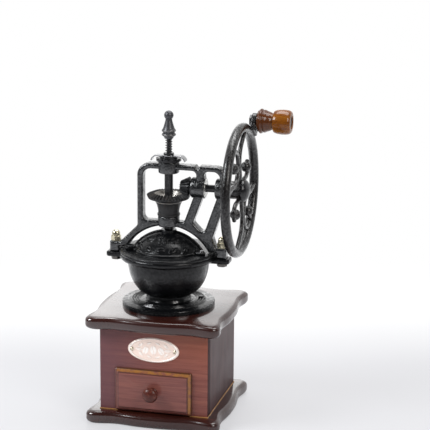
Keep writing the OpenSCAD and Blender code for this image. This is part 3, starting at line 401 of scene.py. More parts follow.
def finished(obj, material, body=None, replaces=()):
    """Gives an object its material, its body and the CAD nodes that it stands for."""
    obj.data.materials.clear()
    obj.data.materials.append(material)
    if body:
        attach(obj, body)
    if replaces:
        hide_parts(*replaces)


def wood(name, axis, dark, middle, light, fine=1.0):
    """A finish, its colour and its grain: long streaks along one axis, crossed by short dark pores."""
    made = Finish(name)
    scale = [230 * fine] * 3
    scale[axis] = 8 * fine
    streaks = made.noise(scale, 5.0, 0.62, 0.6)
    scale = [1300 * fine] * 3
    scale[axis] = 45
    pores = made.noise(scale, 2.0, 0.5).step(0.52, 0.7)
    colour = made.ramp(streaks, (0.3, dark), (0.5, middle), (0.72, light))
    return made, made.blend(pores * 0.38, colour, tuple(0.35 * c for c in dark)), streaks


def varnish(made, colour, streaks, roughness=0.2, coat=0.6, body=0.3, coat_ior=1.5, relief=0.5):
    """A clear gloss over stained wood, with the grain just felt through it."""
    drag = made.noise(45, 2.0, 0.5)
    return made.show(
        Base_Color=colour,
        Roughness=drag * 0.16 + roughness,
        Specular_IOR_Level=body,
        Coat_Weight=coat,
        Coat_Roughness=0.07,
        Coat_IOR=coat_ior,
        Normal=made.bump(streaks * 0.6 + drag, 0.00012, relief),
    )


def plate_outline(half, depth, corner, n=28):
    """A square outline. Each side's cove is depth * sin^2(180 |t|^1.5) deep at t along it, from -1 to 1."""
    t = np.arange(-n, n) / n
    side = np.stack([(half - corner) * t, depth * np.sin(math.pi * np.abs(t) ** 1.5) ** 2 - half], -1)
    side = np.vstack([side, arc(half - corner, corner - half, corner, -90, -5, 12)])
    turns = [np.array([[c, -s], [s, c]]) for c, s in ((1, 0), (0, 1), (-1, 0), (0, -1))]
    return np.vstack([side @ turn.T for turn in turns])


plate_low, plate_high = span("base_plate")
plate_half, plate_t = plate_high[0], plate_high[2] - plate_low[2]
cove_d, corner_r, edge_w, edge_h = 2.6, 7, 4, 3.8


def plate_board(node, holes):
    """A coved board with its edge rounded, edge_w wide and edge_h high, above and below. Each hole in its
    underside is (x, y, walls), where the walls are its (radius, depth) points."""
    low, high = span(node)
    outline = plate_outline(plate_half, cove_d, corner_r)
    edge = eased(low[2], high[2], edge_w, edge_h, 8)
    rows = [Form.level(outline * (1 - inset / plate_half), z, "Z") for inset, z in edge]
    form = Form().grid(np.array(rows), caps=False)
    under, top = [(0, rows[0])], [((len(rows) - 1) * len(outline), rows[-1])]
    ring = arc(0, 0, 1, 360, 0, 40)[:-1]
    for x, y, walls in holes:
        well = [Form.level(ring * r + (x, y), low[2] + depth, "Z") for r, depth in walls]
        under.append((len(form.points), well[0]))
        form.grid(np.array(well), caps=False)
        end = (len(form.points) - len(ring), well[-1])
        if walls[-1][1] >= plate_t:
            top.append(end)
        else:
            form.cap([end])
    return form.cap(under).cap(top).make(node + "_wood")


stain = (0.013, 0.003, 0.002), (0.028, 0.006, 0.004), (0.055, 0.013, 0.007)
plate_wood, colour, streaks = wood("stained_edge_wood", 0, *stain, 0.8)
x, y, z = plate_wood.axes()
rim = x.size().larger(y.size()).step((plate_half - 6.5) * MM, (plate_half - 3) * MM)
# Painted shade: the rounded edges are blended towards a darker red-brown, for the dark room they reflect.
colour = plate_wood.blend(rim * 0.8, colour, (0.026, 0.006, 0.0045))
polish = ((y - x).step(-0.10, 0.05) * 0.6 + 0.4) * (1 - rim * 0.6)
plate_finish = varnish(plate_wood, colour, streaks, 0.2, polish, 0.3, 2.4)

screw_head, sink_gap, chute_r = 2.9, 0.2, 16
screw_at = span("base_screws")[1][0] - screw_head
sink_r = screw_head + sink_gap
sink = [(sink_r, 0), (sink_r, 0.4), (0.55 * sink_r, 2.2), (0.55 * sink_r, 2.4)]
wells = [(sx * screw_at, sy * screw_at, sink) for sx in (-1, 1) for sy in (-1, 1)]
chute = (0, 0, [(chute_r, 0), (chute_r, plate_t)])
finished(plate_board("base_plate", wells), plate_finish, "stand", ["base_plate"])
finished(plate_board("top_plate", [chute]), plate_finish, "stand", ["top_plate"])


# ---------------------------------------------------------------- Box: boards, bead strip, blocks and rails
# Four boards stand on a thin golden strip and are glued round corner blocks. The front one is
# redder, with a painted plum reflection of the left soft box at its left and a painted pool of orange
# light at its upper right. Screws come up through the base plate into the blocks.
def softened(node, width, material, body, angle=35):
    """A copy of a CAD node's mesh with its sharp edges rounded, finished in the node's place."""
    made = bmesh.new()
    made.from_mesh(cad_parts[node].data)
    bmesh.ops.remove_doubles(made, verts=made.verts, dist=1e-6)
    bmesh.ops.dissolve_limit(made, angle_limit=math.radians(1), verts=made.verts, edges=made.edges)
    mesh = bpy.data.meshes.new(node + "_soft")
    made.to_mesh(mesh)
    made.free()
    mesh.shade_smooth()
    obj = placed(node + "_soft", mesh)
    bevel = obj.modifiers.new("edges", "BEVEL")
    bevel.width, bevel.segments, bevel.limit_method = width * MM, 2, "ANGLE"
    bevel.angle_limit, bevel.harden_normals = math.radians(angle), True
    obj.modifiers.new("flats", "WEIGHTED_NORMAL").keep_sharp = True
    finished(obj, material, body, [node])


stain = (0.024, 0.009, 0.010), (0.044, 0.016, 0.017), (0.072, 0.025, 0.024)
board_wood, colour, streaks = wood("side_board_wood", 2, *stain)
board_finish = varnish(board_wood, colour, streaks, 0.42, 0.08, 0.14)

board_half = span("front_board")[1][0]
stain = (0.125, 0.036, 0.028), (0.180, 0.056, 0.044), (0.238, 0.080, 0.056)
front_wood, colour, streaks = wood("front_board_wood", 0, *stain, 1.7)
x, y, z = front_wood.axes()
# Painted reflection: a plum cast towards the left, for the left soft box reflected in the varnish.
painted_left_reflection = front_wood.blend((x * -1).step(-0.012, 0.05) * 0.75, colour, (0.108, 0.046, 0.056))
# Painted light: an orange pool towards the upper right.
painted_light_pool = x.step(-0.02, 0.05) * z.step(0.035, 0.09)
colour = front_wood.blend(painted_light_pool * 0.5, painted_left_reflection, (0.310, 0.085, 0.036))
end = x.size().step((board_half - 0.2) * MM, (board_half - 0.05) * MM)
colour = front_wood.blend(end, colour, (0.036, 0.012, 0.012))
front_finish = varnish(front_wood, colour, streaks, end * 0.3 + 0.3, 0.25 - end * 0.25, 0.16)

softened("front_board", 0.15, front_finish, "stand")
for node in ("back_board", "left_board", "right_board"):
    softened(node, 0.15, board_finish, "stand")

stain = (0.20, 0.085, 0.025), (0.36, 0.18, 0.06), (0.50, 0.27, 0.10)
bead_wood, colour, streaks = wood("golden_strip_wood", 0, *stain)
bead_finish = varnish(bead_wood, colour, streaks, 0.3, 0.3)
softened("bead_strip", 0.2, bead_finish, "stand")

stain = (0.42, 0.27, 0.13), (0.58, 0.40, 0.22), (0.70, 0.52, 0.31)
bare_wood, colour, streaks = wood("bare_pale_wood", 1, *stain)
saw = bare_wood.noise((700, 60, 700), 2.0)
bare_finish = bare_wood.show(Base_Color=colour, Roughness=0.62, Normal=bare_wood.bump(saw, 0.00008, 0.6))
for node in ("corner_blocks", "drawer_rails"):
    softened(node, 0.4, bare_finish, "stand")


def metal(name, colour, roughness, spot=0.06):
    """Metal with faint clouds in its shine, spot deep either way, and a fine grain."""
    made = Finish(name)
    cloud = made.noise(160, 3.0, 0.6)
    mark = made.noise(1600, 2.0, 0.6)
    return made.show(
        Base_Color=made.ramp(cloud, (0.3, tuple(0.82 * c for c in colour)), (0.7, colour)),
        Metallic=1.0,
        Roughness=cloud * spot * 2 + (roughness - spot),
        Normal=made.bump(mark, 0.00002, 0.7),
    )


yellow_zinc = metal("yellow_zinc", (0.62, 0.50, 0.28), 0.34)
finished(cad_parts["base_screws"], yellow_zinc)


# ---------------------------------------------------------------- Drawer
# A pale tray runs on the rails behind an overlapping front. Sanding has worn the front's moulded
# edge to golden wood along its top and right sides, where a painted highlight lies too; its left and
# lower edges, a line in the groove inside the moulding and its outermost edge are painted shade. A
# turned knob is screwed on from inside.
front_low, front_high = span("drawer_front")
pull_low, pull_high = span("drawer_pull")
tray_low, tray_high = span("drawer_sides")
pull_z = (pull_low[2] + pull_high[2]) / 2
panel_y, panel_t, plug_lap, plug_edge = front_low[1], 4, 0.5, 0.4
half_w, half_h = front_high[0], pull_z - front_low[2]

moulding = [
    (0, panel_t), (0, 2.6), (0.3, 2.1), (1.0, 1.6), (2.0, 1.15), (2.9, 0.95), (3.0, 0.6), (3.1, 0.45),
    (3.5, 0.1), (4.1, 0),
]
rows = []
for inset, drop in moulding:
    w, h, r = half_w - inset, half_h - inset, max(1.4 - 0.3 * inset, 0.5)
    panel = rounded([(-w, -h, r), (w, -h, r), (w, h, r), (-w, h, r)], 4) + (0, pull_z)
    rows.append(Form.level(panel, panel_y + drop, "Y"))
form = Form().grid(np.array(rows))
plug_low = (tray_low[0], panel_y + panel_t - plug_lap, front_low[2])
form.block(plug_low, (tray_high[0], tray_low[1], tray_high[2]), plug_edge)

stain = (0.118, 0.036, 0.031), (0.172, 0.055, 0.045), (0.228, 0.078, 0.056)
drawer_wood, colour, streaks = wood("drawer_front_wood", 0, *stain, 1.9)
x, y, z = drawer_wood.axes()
patchy = drawer_wood.noise(180, 3.0, 0.7)
wander = patchy * 0.0016


def past(value, low, high, limit=half_w):
    """0 to 1 as a value in metres nears a limit: from limit - low to limit - high, in millimetres."""
    return value.step((limit - low) * MM, (limit - high) * MM)


top_edge = past(z + wander * 0.3, 3.0, 2.3, pull_z + half_h)
right_edge = past(x + wander * 0.3, 3.0, 2.3)
# Worn wood and a painted highlight: the top and right edges turn golden in patches.
worn_and_highlit = top_edge.larger(right_edge) * patchy.step(0.3, 0.62)
# Painted shade: the left and lower edges are darkened.
shaded_left_edge = past((x * -1) + wander, 1.8, 0.8)
shaded_low_edge = past((z * -1) + wander, 1.6, 0.6, half_h - pull_z)
across = ((z - pull_z * MM).size() + (half_w - half_h) * MM).larger(x.size())
groove_shade = past(across, 4.0, 3.6) - past(across, 3.1, 2.8)
colour = drawer_wood.blend(worn_and_highlit * 0.85, colour, (0.300, 0.130, 0.022))
# Painted shade: a dark line in the groove inside the moulding, then a dark outermost edge.
colour = drawer_wood.blend(groove_shade * 0.7, colour, (0.030, 0.008, 0.004))
colour = drawer_wood.blend(past(across, 1.0, 0.3) * 0.75, colour, (0.025, 0.007, 0.004))
colour = drawer_wood.blend(shaded_left_edge.larger(shaded_low_edge) * 0.6, colour, (0.070, 0.018, 0.012))
drawer_finish = varnish(drawer_wood, colour, streaks, 0.3, 0.3, 0.25)
finished(form.make("drawer_panel"), drawer_finish, "drawer", ["drawer_front"])

for node in ("drawer_sides", "drawer_back", "drawer_bottom"):
    softened(node, 0.35, bare_finish, "drawer")

pull_r, pull_len, head_share = (pull_high[0] - pull_low[0]) / 2, pull_high[1] - pull_low[1], 0.36
stem = [(0, 0), (0.66, 0), (0.68, 0.03), (0.64, 0.075), (0.47, 0.13), (0.42, 0.2), (0.45, 0.27)]
knob = [(r * pull_r, panel_y - h * pull_len) for r, h in stem]
head = arc(0, 0, 1, -55, 90, 24)
knob += [(pull_r * r, panel_y - pull_len * (1 - head_share + head_share * h)) for r, h in head]
stain = (0.040, 0.008, 0.006), (0.075, 0.016, 0.010), (0.120, 0.030, 0.016)
knob_wood, colour, streaks = wood("knob_wood", 1, *stain, 1.4)
knob_finish = varnish(knob_wood, colour, streaks, 0.28, 0.2, 0.2)
form = Form().revolve(knob, "Y", (0, pull_z), 64)
finished(form.make("drawer_knob"), knob_finish, "drawer", ["drawer_pull"])
finished(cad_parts["pull_screw"], yellow_zinc)


# ---------------------------------------------------------------- Badge and its rivets
# An oval of thin copper-coloured sheet, pressed in a die: a raised rim, coffee beans between two
# sprays of leaves, and a shallow dome. Two small round rivets hold it.
def pad(u, v, cu, cv, a, b, turn):
    """The place in an ellipse with half sizes a and b: along, across, and 1 - along^2 - across^2, which says
    how far inside it is."""
    c, s = math.cos(math.radians(turn)), math.sin(math.radians(turn))
    p, q = ((u - cu) * c + (v - cv) * s) / a, ((v - cv) * c - (u - cu) * s) / b
    return p, q, np.clip(1 - p**2 - q**2, 0, 1)


def bean(u, v, cu, cv, a, b, turn):
    """A coffee bean's height: sqrt(inside), less a wavy groove along it."""
    p, q, inside = pad(u, v, cu, cv, a, b, turn)
    groove = 0.75 * np.exp(-(((q - 0.18 * np.sin(3 * p)) / 0.16) ** 2))
    return np.sqrt(inside) * (1 - groove)


def leaf(u, v, cu, cv, a, b, turn):
    """A pointed leaf's height: sqrt(1 - |q| / (1 - p^2)), less a vein."""
    p, q, _ = pad(u, v, cu, cv, a, b, turn)
    width = np.clip(1 - p**2, 1e-3, 1)
    body = np.sqrt(np.clip(1 - np.abs(q) / width, 0, 1)) * (np.abs(p) < 1)
    return body * (1 - 0.6 * np.exp(-((q / 0.14) ** 2)))


badge_low, badge_high = span("badge")
badge_a, badge_b = badge_high[0], (badge_high[2] - badge_low[2]) / 2
badge_z, badge_back = (badge_low[2] + badge_high[2]) / 2, badge_high[1]
sheet_t, bean_h, leaf_h = 0.36, 0.5, 0.36
share, angle = np.meshgrid(np.linspace(0.004, 1, 84), np.arange(300) * 2 * math.pi / 300, indexing="ij")
u, v = badge_a * share * np.cos(angle), badge_b * share * np.sin(angle)
raised = 0.42 * (1 - 0.3 * share**2) + 0.62 * np.exp(-(((share - 0.925) / 0.035) ** 2))
raised = np.where(share > 0.95, raised * np.sqrt(np.clip((1 - share) / 0.05, 0, 1)), raised)
beans = (0, 0, 4.3, 3.0, 90), (-7.0, -0.6, 3.9, 2.7, 62), (7.0, -0.6, 3.9, 2.7, 118)
for one in beans:
    raised = np.maximum(raised, sheet_t + bean_h * bean(u, v, *one))
leaves = (12.9, 0.2, 3.6, 1.5, 5), (11.4, 4.0, 3.0, 1.2, -38), (11.4, -3.8, 3.0, 1.2, 42)
leaves += (3.9, 5.9, 2.6, 1.0, -24), (3.9, -6.1, 2.6, 1.0, 24)
for leaf_x, leaf_z, a, b, turn in leaves:
    for s in (-1, 1):
        raised = np.maximum(raised, sheet_t + leaf_h * leaf(u, v, s * leaf_x, leaf_z, a, b, s * turn))
face = np.stack([u, badge_back - np.minimum(raised, 1.0), v + badge_z], -1)
back = np.stack([u[-1], np.full(300, badge_back), v[-1] + badge_z], -1)
badge_metal = Finish("pressed_copper_sheet")
x, y, z = badge_metal.axes()
high = (y * -1).step((sheet_t - badge_back) * MM, (sheet_t - badge_back + 0.39) * MM)
tarnish = badge_metal.noise(420, 4.0, 0.65)
tone = badge_metal.blend(high * 0.75 + tarnish * 0.25, (0.83, 0.65, 0.56), (0.96, 0.92, 0.88))
badge_finish = badge_metal.show(Base_Color=tone, Metallic=0.25, Roughness=tarnish * 0.2 + 0.26)
form = Form().grid(np.concatenate([face, back[None]]))
finished(form.make("pressed_badge"), badge_finish, "stand", ["badge"])
finished(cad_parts["badge_rivets"], metal("rivet_metal", (0.70, 0.62, 0.48), 0.3))


# ---------------------------------------------------------------- Mill body and its flange screws
# One casting in black enamel: a ringed flange on the top board, a short neck, and a bowl whose
# rim has a cast bead, a groove and two ears. Three black screws hold the flange down.
def enamel(made, base=(0.0035, 0.0037, 0.0043), roughness=0.24, lump=0.0005, shine=0.35, coat=0.12, sand=1):
    """Black enamel over sandy cast iron, whose grains break up its gloss. Lump is the sand's depth in metres,
    and sand is the share of it that shows."""
    cast = made.noise(520, 3.0, 0.6)
    fine = made.noise(1500, 2.0, 0.6)
    dark, light = tuple(0.7 * c for c in base), tuple(1.6 * c for c in base)
    return made.show(
        Base_Color=made.ramp(cast, (0.3, dark), (0.75, light)),
        Roughness=cast * 0.22 + (roughness - 0.12),
        Specular_IOR_Level=shine,
        Coat_Weight=cast.step(0.38, 0.62) * (2 * coat),
        Coat_Roughness=0.16,
        Normal=made.bump((cast * 0.8 + fine * 0.2) * sand, lump, 0.9),
    )


def bowl_side(t, foot_r, foot_z, bulge=17, rise=31.5):
    """The side of a bowl, as (radius, height): foot_r + bulge * sin(90 t^0.8) and foot_z + rise * t^1.25."""
    return np.stack([foot_r + bulge * np.sin(np.radians(90) * t**0.8), foot_z + rise * t**1.25], -1)


body_low, body_high = span("mill_body")
deck, rim_top, rim_r = body_low[2], body_high[2], body_high[1]
flange_r, flange_t, neck_r, wall, mouth_r, bore_r = 41, 4, 19, 3, 27, 9
foot = np.array([
    (flange_r, -flange_t), (flange_r, -0.9), (flange_r - 0.3, -0.25), (flange_r - 0.9, 0), (33.8, 0),
    (33.1, 0.3), (32.6, 1.1),
]) + (0, deck + flange_t)

ring_pitch, ring_h, ring_start = 2.3, 0.6, 24.8
r = np.linspace(32.2, neck_r + 0.6, 90)
steps = np.interp(r, [19.6, 20.3, 21.8, 22.2, 23.9, 24.6], [7.2, 5.6, 5.5, 5.2, 5.1, 4.8])
rings = ring_h * np.cos((r - 26) * 2 * math.pi / ring_pitch) * np.clip((r - ring_start) / 0.6, 0, 1)
flange = np.stack([r, deck + steps + rings], -1)

t = np.linspace(0, 1, 40)
bowl = np.vstack([[(neck_r + 0.05, deck + 8.8)], bowl_side(t, neck_r, deck + 10)])
rim = np.array([
    (-6.1, -8.45), (-3.5, -8.2), (-1.6, -7.4), (-0.5, -6.1), (-0.2, -4.9), (-0.2, -3.5), (-0.45, -3.15),
    (-0.65, -2.8), (-0.45, -2.45), (-0.15, -2.1), (0, -1.5), (-0.15, -0.7), (-0.7, -0.15), (-1.5, 0),
]) + (rim_r, rim_top)
mouth = np.array([(0.6, 0), (0, -0.6), (0, -2.5), (6, -6)]) + (mouth_r, rim_top)
hollow = bowl_side(t[-3:15:-1], neck_r - wall, deck + 10.6)
bore = [(bore_r, deck + 19), (bore_r, deck)]
profile = np.vstack([foot, flange, bowl, rim, mouth, hollow, bore])

angle = np.arange(360) * 2 * math.pi / 360
radius, height = np.repeat(profile[:, :1], 360, 1), np.repeat(profile[:, 1:], 360, 1)
outside = np.arange(len(profile))[:, None] <= len(foot) + len(flange) + len(bowl)
seam_h, seam_w = 0.3, 0.7
seamed = outside * (radius < rim_r - 3.5) * (height > deck + 5)
radius = radius + seam_h * np.exp(-((radius * np.sin(angle) / seam_w) ** 2)) * seamed
form = Form().grid(Form.stand(radius * np.cos(angle), radius * np.sin(angle), height, "Z"), loop=True)
ear_in, ear_end, ear_half = 38, body_high[0], 7
for s in (-1, 1):
    corners = [(ear_in, -ear_half, 0), (ear_end, -ear_half, 3), (ear_end, ear_half, 3), (ear_in, ear_half, 0)]
    ear = rounded([(s * x, y, r) for x, y, r in corners])
    form.plate([ear], rim_top - 9, rim_top - 4.5, 1.3, axis="Z")
pip_turn, pip_r = math.radians(-48), rim_r - 0.3
form.ball((pip_r * math.cos(pip_turn), pip_r * math.sin(pip_turn), rim_top - 5.6), 0.9, 16)

body_black = Finish("enamelled_casting")
x, y, z = body_black.axes()
low_down = 1 - z.step((deck + 6.5) * MM, (deck + 10) * MM)
body_finish = enamel(body_black, shine=0.2, coat=low_down * 0.3 + 0.12, sand=1 - low_down * 0.7)
finished(form.make("body_casting"), body_finish, "stand", ["mill_body"])
small_black = enamel(Finish("blackened_screws"), (0.009, 0.009, 0.010), 0.26, 0.00005)
finished(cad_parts["flange_screws"], small_black)


# ---------------------------------------------------------------- Burrs
# A toothed steel ring sits in the neck, and a toothed cone turns inside it. Both are hardened
# and ground, with darker slots. A plain steel nut holds the cone on the spindle's end.
burr_metal = metal("hardened_steel", (0.36, 0.36, 0.37), 0.42)
steel = metal("bright_steel", (0.62, 0.62, 0.63), 0.3)
softened("ring_burr", 0.15, burr_metal, "stand")
softened("cone_burr", 0.15, burr_metal, "spindle")
softened("burr_nut", 0.4, steel, "spindle")


# ---------------------------------------------------------------- Dome and its screws
# The fixed half of the hopper's cover is a cast shell with a moulded front: a flower between two
# leafy sprays over a row of coffee beans. Its two lugs are screwed to the body's rim.
dome_r, dome_z, dome_wall, spindle_eye = 37.3, 126.7, 2.2, 4.6
dome_top = span("dome")[1][2]


def dome_span(radius):
    """The lowest and highest elevation of a shell of the dome, from the rim to the spindle's eye."""
    return math.asin((rim_top - dome_z) / radius), math.acos(spindle_eye / radius)


def dome_grid(radius, rise, turn):
    """Points at a radius, elevation and azimuth round the dome's centre."""
    ring = radius * np.cos(rise)
    return Form.stand(ring * np.cos(turn), ring * np.sin(turn), dome_z + radius * np.sin(rise), "Z")


low_a, top_a = dome_span(dome_r)
half_turn = np.linspace(math.pi, 2 * math.pi, 300)
rise_a, turn_a = np.meshgrid(np.linspace(low_a, top_a, 120), half_turn, indexing="ij")
u, v = dome_r * np.cos(rise_a) * (turn_a - 1.5 * math.pi), dome_r * (rise_a - low_a)
raised = 0.5 * np.exp(-(((v - 1.2) / 0.8) ** 2))
for k in range(-3, 4):
    raised = np.maximum(raised, 1.5 * bean(u, v, 11.5 * k, 7.2 - 0.35 * k * k, 4.4, 3.1, 24 * k))
flower_v, petal_out = 18.2, 3.3
for k in range(5):
    a = math.radians(72 * k + 90)
    petal = petal_out * math.cos(a), flower_v + petal_out * math.sin(a)
    raised = np.maximum(raised, 1.2 * np.sqrt(pad(u, v, *petal, 2.6, 1.9, 72 * k + 90)[2]))
raised = np.maximum(raised, 1.5 * np.sqrt(pad(u, v, 0, flower_v, 1.5, 1.5, 0)[2]))
leaves = (11.5, 15.8, 4.2, 1.9, -18), (10.0, 21.0, 3.6, 1.7, 38), (18.5, 15.6, 3.8, 1.7, 26)
for leaf_u, leaf_v, a, b, turn in leaves:
    for s in (-1, 1):
        raised = np.maximum(raised, leaf(u, v, s * leaf_u, leaf_v, a, b, s * turn))
raised *= np.clip((dome_r * (top_a - rise_a) - 2) / 1.5, 0, 1)

relief_base = 0.35
outside = dome_grid(dome_r - relief_base + raised, rise_a, turn_a)
inside_a = np.linspace(*dome_span(dome_r - dome_wall), 24)
inside = dome_grid(dome_r - dome_wall, *np.meshgrid(inside_a, half_turn, indexing="ij"))
shell = np.concatenate([outside, inside[::-1]])
form = Form().grid(shell, ring=False, loop=True)
for column in (0, len(half_turn) - 1):
    form.faces.append([row * len(half_turn) + column for row in range(len(shell))])
hem_r = 1.3
low, high = math.degrees(low_a + 0.01), math.degrees(math.pi - low_a - 0.01)
hem = [(x, -hem_r, dome_z + z) for x, z in arc(0, 0, dome_r - 0.1, low, high, 89)]
form.bar(hem, hem_r, hem_r, (0, 1, 0))
collar = [(spindle_eye, -3), (6.4, -3), (7.0, -2.4), (7.0, -0.6), (6.5, 0), (spindle_eye, 0)]
form.revolve(np.array(collar) + (0, dome_top), n=64, loop=True)
foot_r = math.sqrt(dome_r**2 - (rim_top - dome_z) ** 2)
lug_corners = [(-5.2, -4.2, 0.3), (0.8, -4.2, 1.2), (4, 0, 1), (0.8, 4.2, 1.2), (-5.2, 4.2, 0.3)]
for a, lug_t in ((-19, 2.4), (199, 4.2)):
    c, s = math.cos(math.radians(a)), math.sin(math.radians(a))
    lug = (rounded(lug_corners, 5) + (foot_r + 3.6, 0)) @ np.array([[c, s], [-s, c]])
    form.plate([lug], rim_top, rim_top + lug_t, 0.8, axis="Z", steps=3)
dome_finish = enamel(Finish("dome_enamel"), roughness=0.22, lump=0.0003, shine=0.2)
finished(form.make("dome_casting"), dome_finish, "stand", ["dome"])
finished(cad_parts["dome_screws"], small_black)


# ---------------------------------------------------------------- Hopper door and its pull
# The other half of the cover is a thinner pressed shell that turns about the spindle and slides
# inside the dome. A small ball on a stem near its left edge moves it.
door_black = enamel(Finish("door_enamel"), (0.007, 0.0075, 0.009), 0.27, 0.00006)
softened("hopper_door", 0.35, door_black, "door")
softened("door_pull", 0.2, small_black, "door")


# ---------------------------------------------------------------- Bridge
# A flat cast frame in black enamel stands across the mill on two feet. It carries a plain boss
# for the spindle above and below, and two hubs for the crank. The inner hub's end is machined.
bridge_low, bridge_high = span("bridge")
nuts_low, nuts_high = span("acorn_nuts")
foot_x, sole_z, foot_z = bridge_high[0], bridge_low[2], nuts_low[2]
step_x, step_z = rim_r + 0.4, rim_top + 0.5
left_x, right_x, beam_z, sill_z, crank_z = 27.6, 52, 224, 173.2, 203.8
bar_w, beam_t, arch_r, bridge_half, notch_x, notch_w, notch_d = 5.2, 4.8, 42.3, 5.5, 26.6, 2.3, 2.8
outline = rounded([
    (-step_x, step_z, 0.6), (-step_x, sole_z, 0), (-foot_x, sole_z, 0), (-foot_x, foot_z, 1),
    (-43.5, foot_z, 1), (-left_x, 167.7, 3), (-left_x, beam_z, 11), (notch_x - notch_w, beam_z, 0.6),
    (notch_x, beam_z - notch_d, 0.6), (notch_x + notch_w, beam_z, 0.6), (right_x, beam_z, 9),
    (right_x, 194.6, 4), (40.6, 160, 4), (43.5, foot_z, 1), (foot_x, foot_z, 1), (foot_x, sole_z, 0),
    (step_x, sole_z, 0), (step_x, step_z, 0.6), (36.9, step_z, 0), (36.5, step_z + 0.6, 0),
])
arch_end = [(-36.5, step_z + 0.6), (-36.9, step_z)]
outline = np.vstack([outline, arc(0, dome_z, arch_r, 30.6, 149.4, 60), arch_end])
head_z, in_left, in_right = beam_z - beam_t, bar_w - left_x, right_x - bar_w
main_window = rounded([
    (in_left, sill_z, 4), (14.9, sill_z, 3), (26, crank_z, 0), (25.5, head_z, 4), (in_left, head_z, 7),
])
strut_window = rounded([
    (23.1, sill_z, 3), (32.6, 163.4, 3), (in_right, crank_z, 0), (in_right, head_z, 6), (32.1, head_z, 4),
    (34.2, crank_z, 0),
])
form = Form().plate([outline, main_window, strut_window], -bridge_half, bridge_half, 2.1, steps=6)


def hub(r, hole, low, high, edge=1.1):
    """A round hub with a hole and rounded edges, as (radius, height)."""
    out = [(r - inset, h) for inset, h in eased(low, high, edge, edge, 3)]
    return [(hole, low)] + out + [(hole, high)]


hub_r, shaft_hole, spindle_hole = 9.2, 3.5, 3.95
inner_hub, outer_hub = (21, 33.6), (43, foot_x)
for ends in (inner_hub, outer_hub):
    form.revolve(hub(hub_r, shaft_hole, *ends), "X", (0, crank_z), 72, loop=True)
for r, ends in ((9.3, (215.7, bridge_high[2])), (bridge_high[1], (168, 177.7))):
    form.revolve(hub(r, spindle_hole, *ends), "Z", (0, 0), 72, loop=True)
bridge_black = Finish("bridge_enamel")
x, y, z = bridge_black.axes()
cast = bridge_black.noise(480, 3.0, 0.6)
from_shaft = y.long(z - crank_z * MM)
hub_end = inner_hub[1]
at_end = x.step((hub_end - 0.2) * MM, (hub_end - 0.05) * MM)
at_end = at_end - x.step((hub_end + 0.1) * MM, (hub_end + 0.3) * MM)
machined = at_end * (1 - from_shaft.step((hub_r - 0.8) * MM, (hub_r - 0.3) * MM))
cuts = (from_shaft * 9000).sine() * 0.5 + 0.5
dark = bridge_black.ramp(cast, (0.3, (0.004, 0.0043, 0.005)), (0.75, (0.010, 0.0107, 0.012)))
bridge_finish = bridge_black.show(
    Base_Color=bridge_black.blend(machined, dark, (0.66, 0.65, 0.62)),
    Metallic=machined,
    Roughness=cast * 0.24 + 0.12,
    Specular_IOR_Level=0.8,
    Coat_Weight=cast.step(0.38, 0.62) * 0.8,
    Coat_Roughness=0.12,
    Normal=bridge_black.bump(cast + cuts * machined, 0.0006, 0.9),
)
finished(form.make("bridge_casting"), bridge_finish, "stand", ["bridge"])


# ---------------------------------------------------------------- Bridge bolts and acorn nuts
# Two steel bolts come up through the body's ears and the bridge's feet. Pale brass nuts with
# domed caps hold them from above. They are polished, and a little dull in the hollows.
softened("bridge_bolts", 0.4, metal("dull_steel", (0.16, 0.15, 0.14), 0.4), "stand")
nut_r, nut_h = nuts_high[1], nuts_high[2] - nuts_low[2]
nut_at = nuts_high[0] - nut_r / math.cos(math.radians(30))
hex_h = 0.46 * nut_h
cap_h = nut_h - hex_h
angle = np.arange(96) * 2 * math.pi / 96
hexagon = nut_r / np.cos((angle + math.pi / 6) % (math.pi / 3) - math.pi / 6)
chamfers = (1.02, 0), (1.12, 0.35), (1.16, 0.6), (1.16, hex_h - 0.7), (1.1, hex_h - 0.3), (0.99, hex_h)
rings = [(np.minimum(hexagon, limit * nut_r), h) for limit, h in chamfers]
cap = (0.93, 0), (0.92, 0.05), (0.91, 0.3), (0.86, 0.52), (0.76, 0.7), (0.6, 0.85), (0.4, 0.94)
cap += (0.2, 0.985), (0.01, 1)
rings += [(np.full(96, r * nut_r), hex_h + cap_h * h) for r, h in cap]
rows = [Form.stand(r * np.cos(angle), r * np.sin(angle), np.full(96, foot_z + h), "Z") for r, h in rings]
form = Form()
for s in (-1, 1):
    form.grid(np.array(rows) + (s * nut_at, 0, 0))
pale_brass = metal("pale_brass", (0.62, 0.57, 0.42), 0.27, 0.08)
finished(form.make("domed_nuts"), pale_brass, "stand", ["acorn_nuts"])


# ---------------------------------------------------------------- Drive gear, pinion and key
# The spindle's bevel gear is a rough black casting whose dish was turned bright. The crank's
# small bevel pinion drives it, and a square key holds that pinion on the shaft.
gear_black = Finish("rough_gear_casting")
x, y, z = gear_black.axes()
dish_r, dish_z = 12.4, 189.8
cast = gear_black.noise(420, 5.0, 0.68)
from_axis = x.long(y)
low, high = dish_r * MM, (dish_r + 0.8) * MM
dish = (1 - from_axis.step(low, high)) * z.step(dish_z * MM, (dish_z + 0.6) * MM)
cuts = (from_axis * 14000).sine() * 0.5 + 0.5
rust = gear_black.noise(130, 3.0, 0.6).step(0.52, 0.68)
dark = gear_black.ramp(cast, (0.3, (0.006, 0.006, 0.0065)), (0.8, (0.020, 0.019, 0.019)))
dark = gear_black.blend(rust * 0.4, dark, (0.045, 0.028, 0.020))
gear_finish = gear_black.show(
    Base_Color=gear_black.blend(dish, dark, (0.42, 0.40, 0.37)),
    Metallic=dish,
    Roughness=cast * 0.3 + 0.34 - dish * 0.12,
    Specular_IOR_Level=0.4,
    Normal=gear_black.bump(cast + cuts * dish * 0.4, 0.00016, 0.7),
)
softened("drive_gear", 0.15, gear_finish, "gear", 28)
pinion_black = enamel(Finish("pinion_casting"), (0.010, 0.010, 0.011), 0.34, 0.00016)
softened("pinion", 0.15, pinion_black, "crank", 28)
finished(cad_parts["pinion_key"], steel)


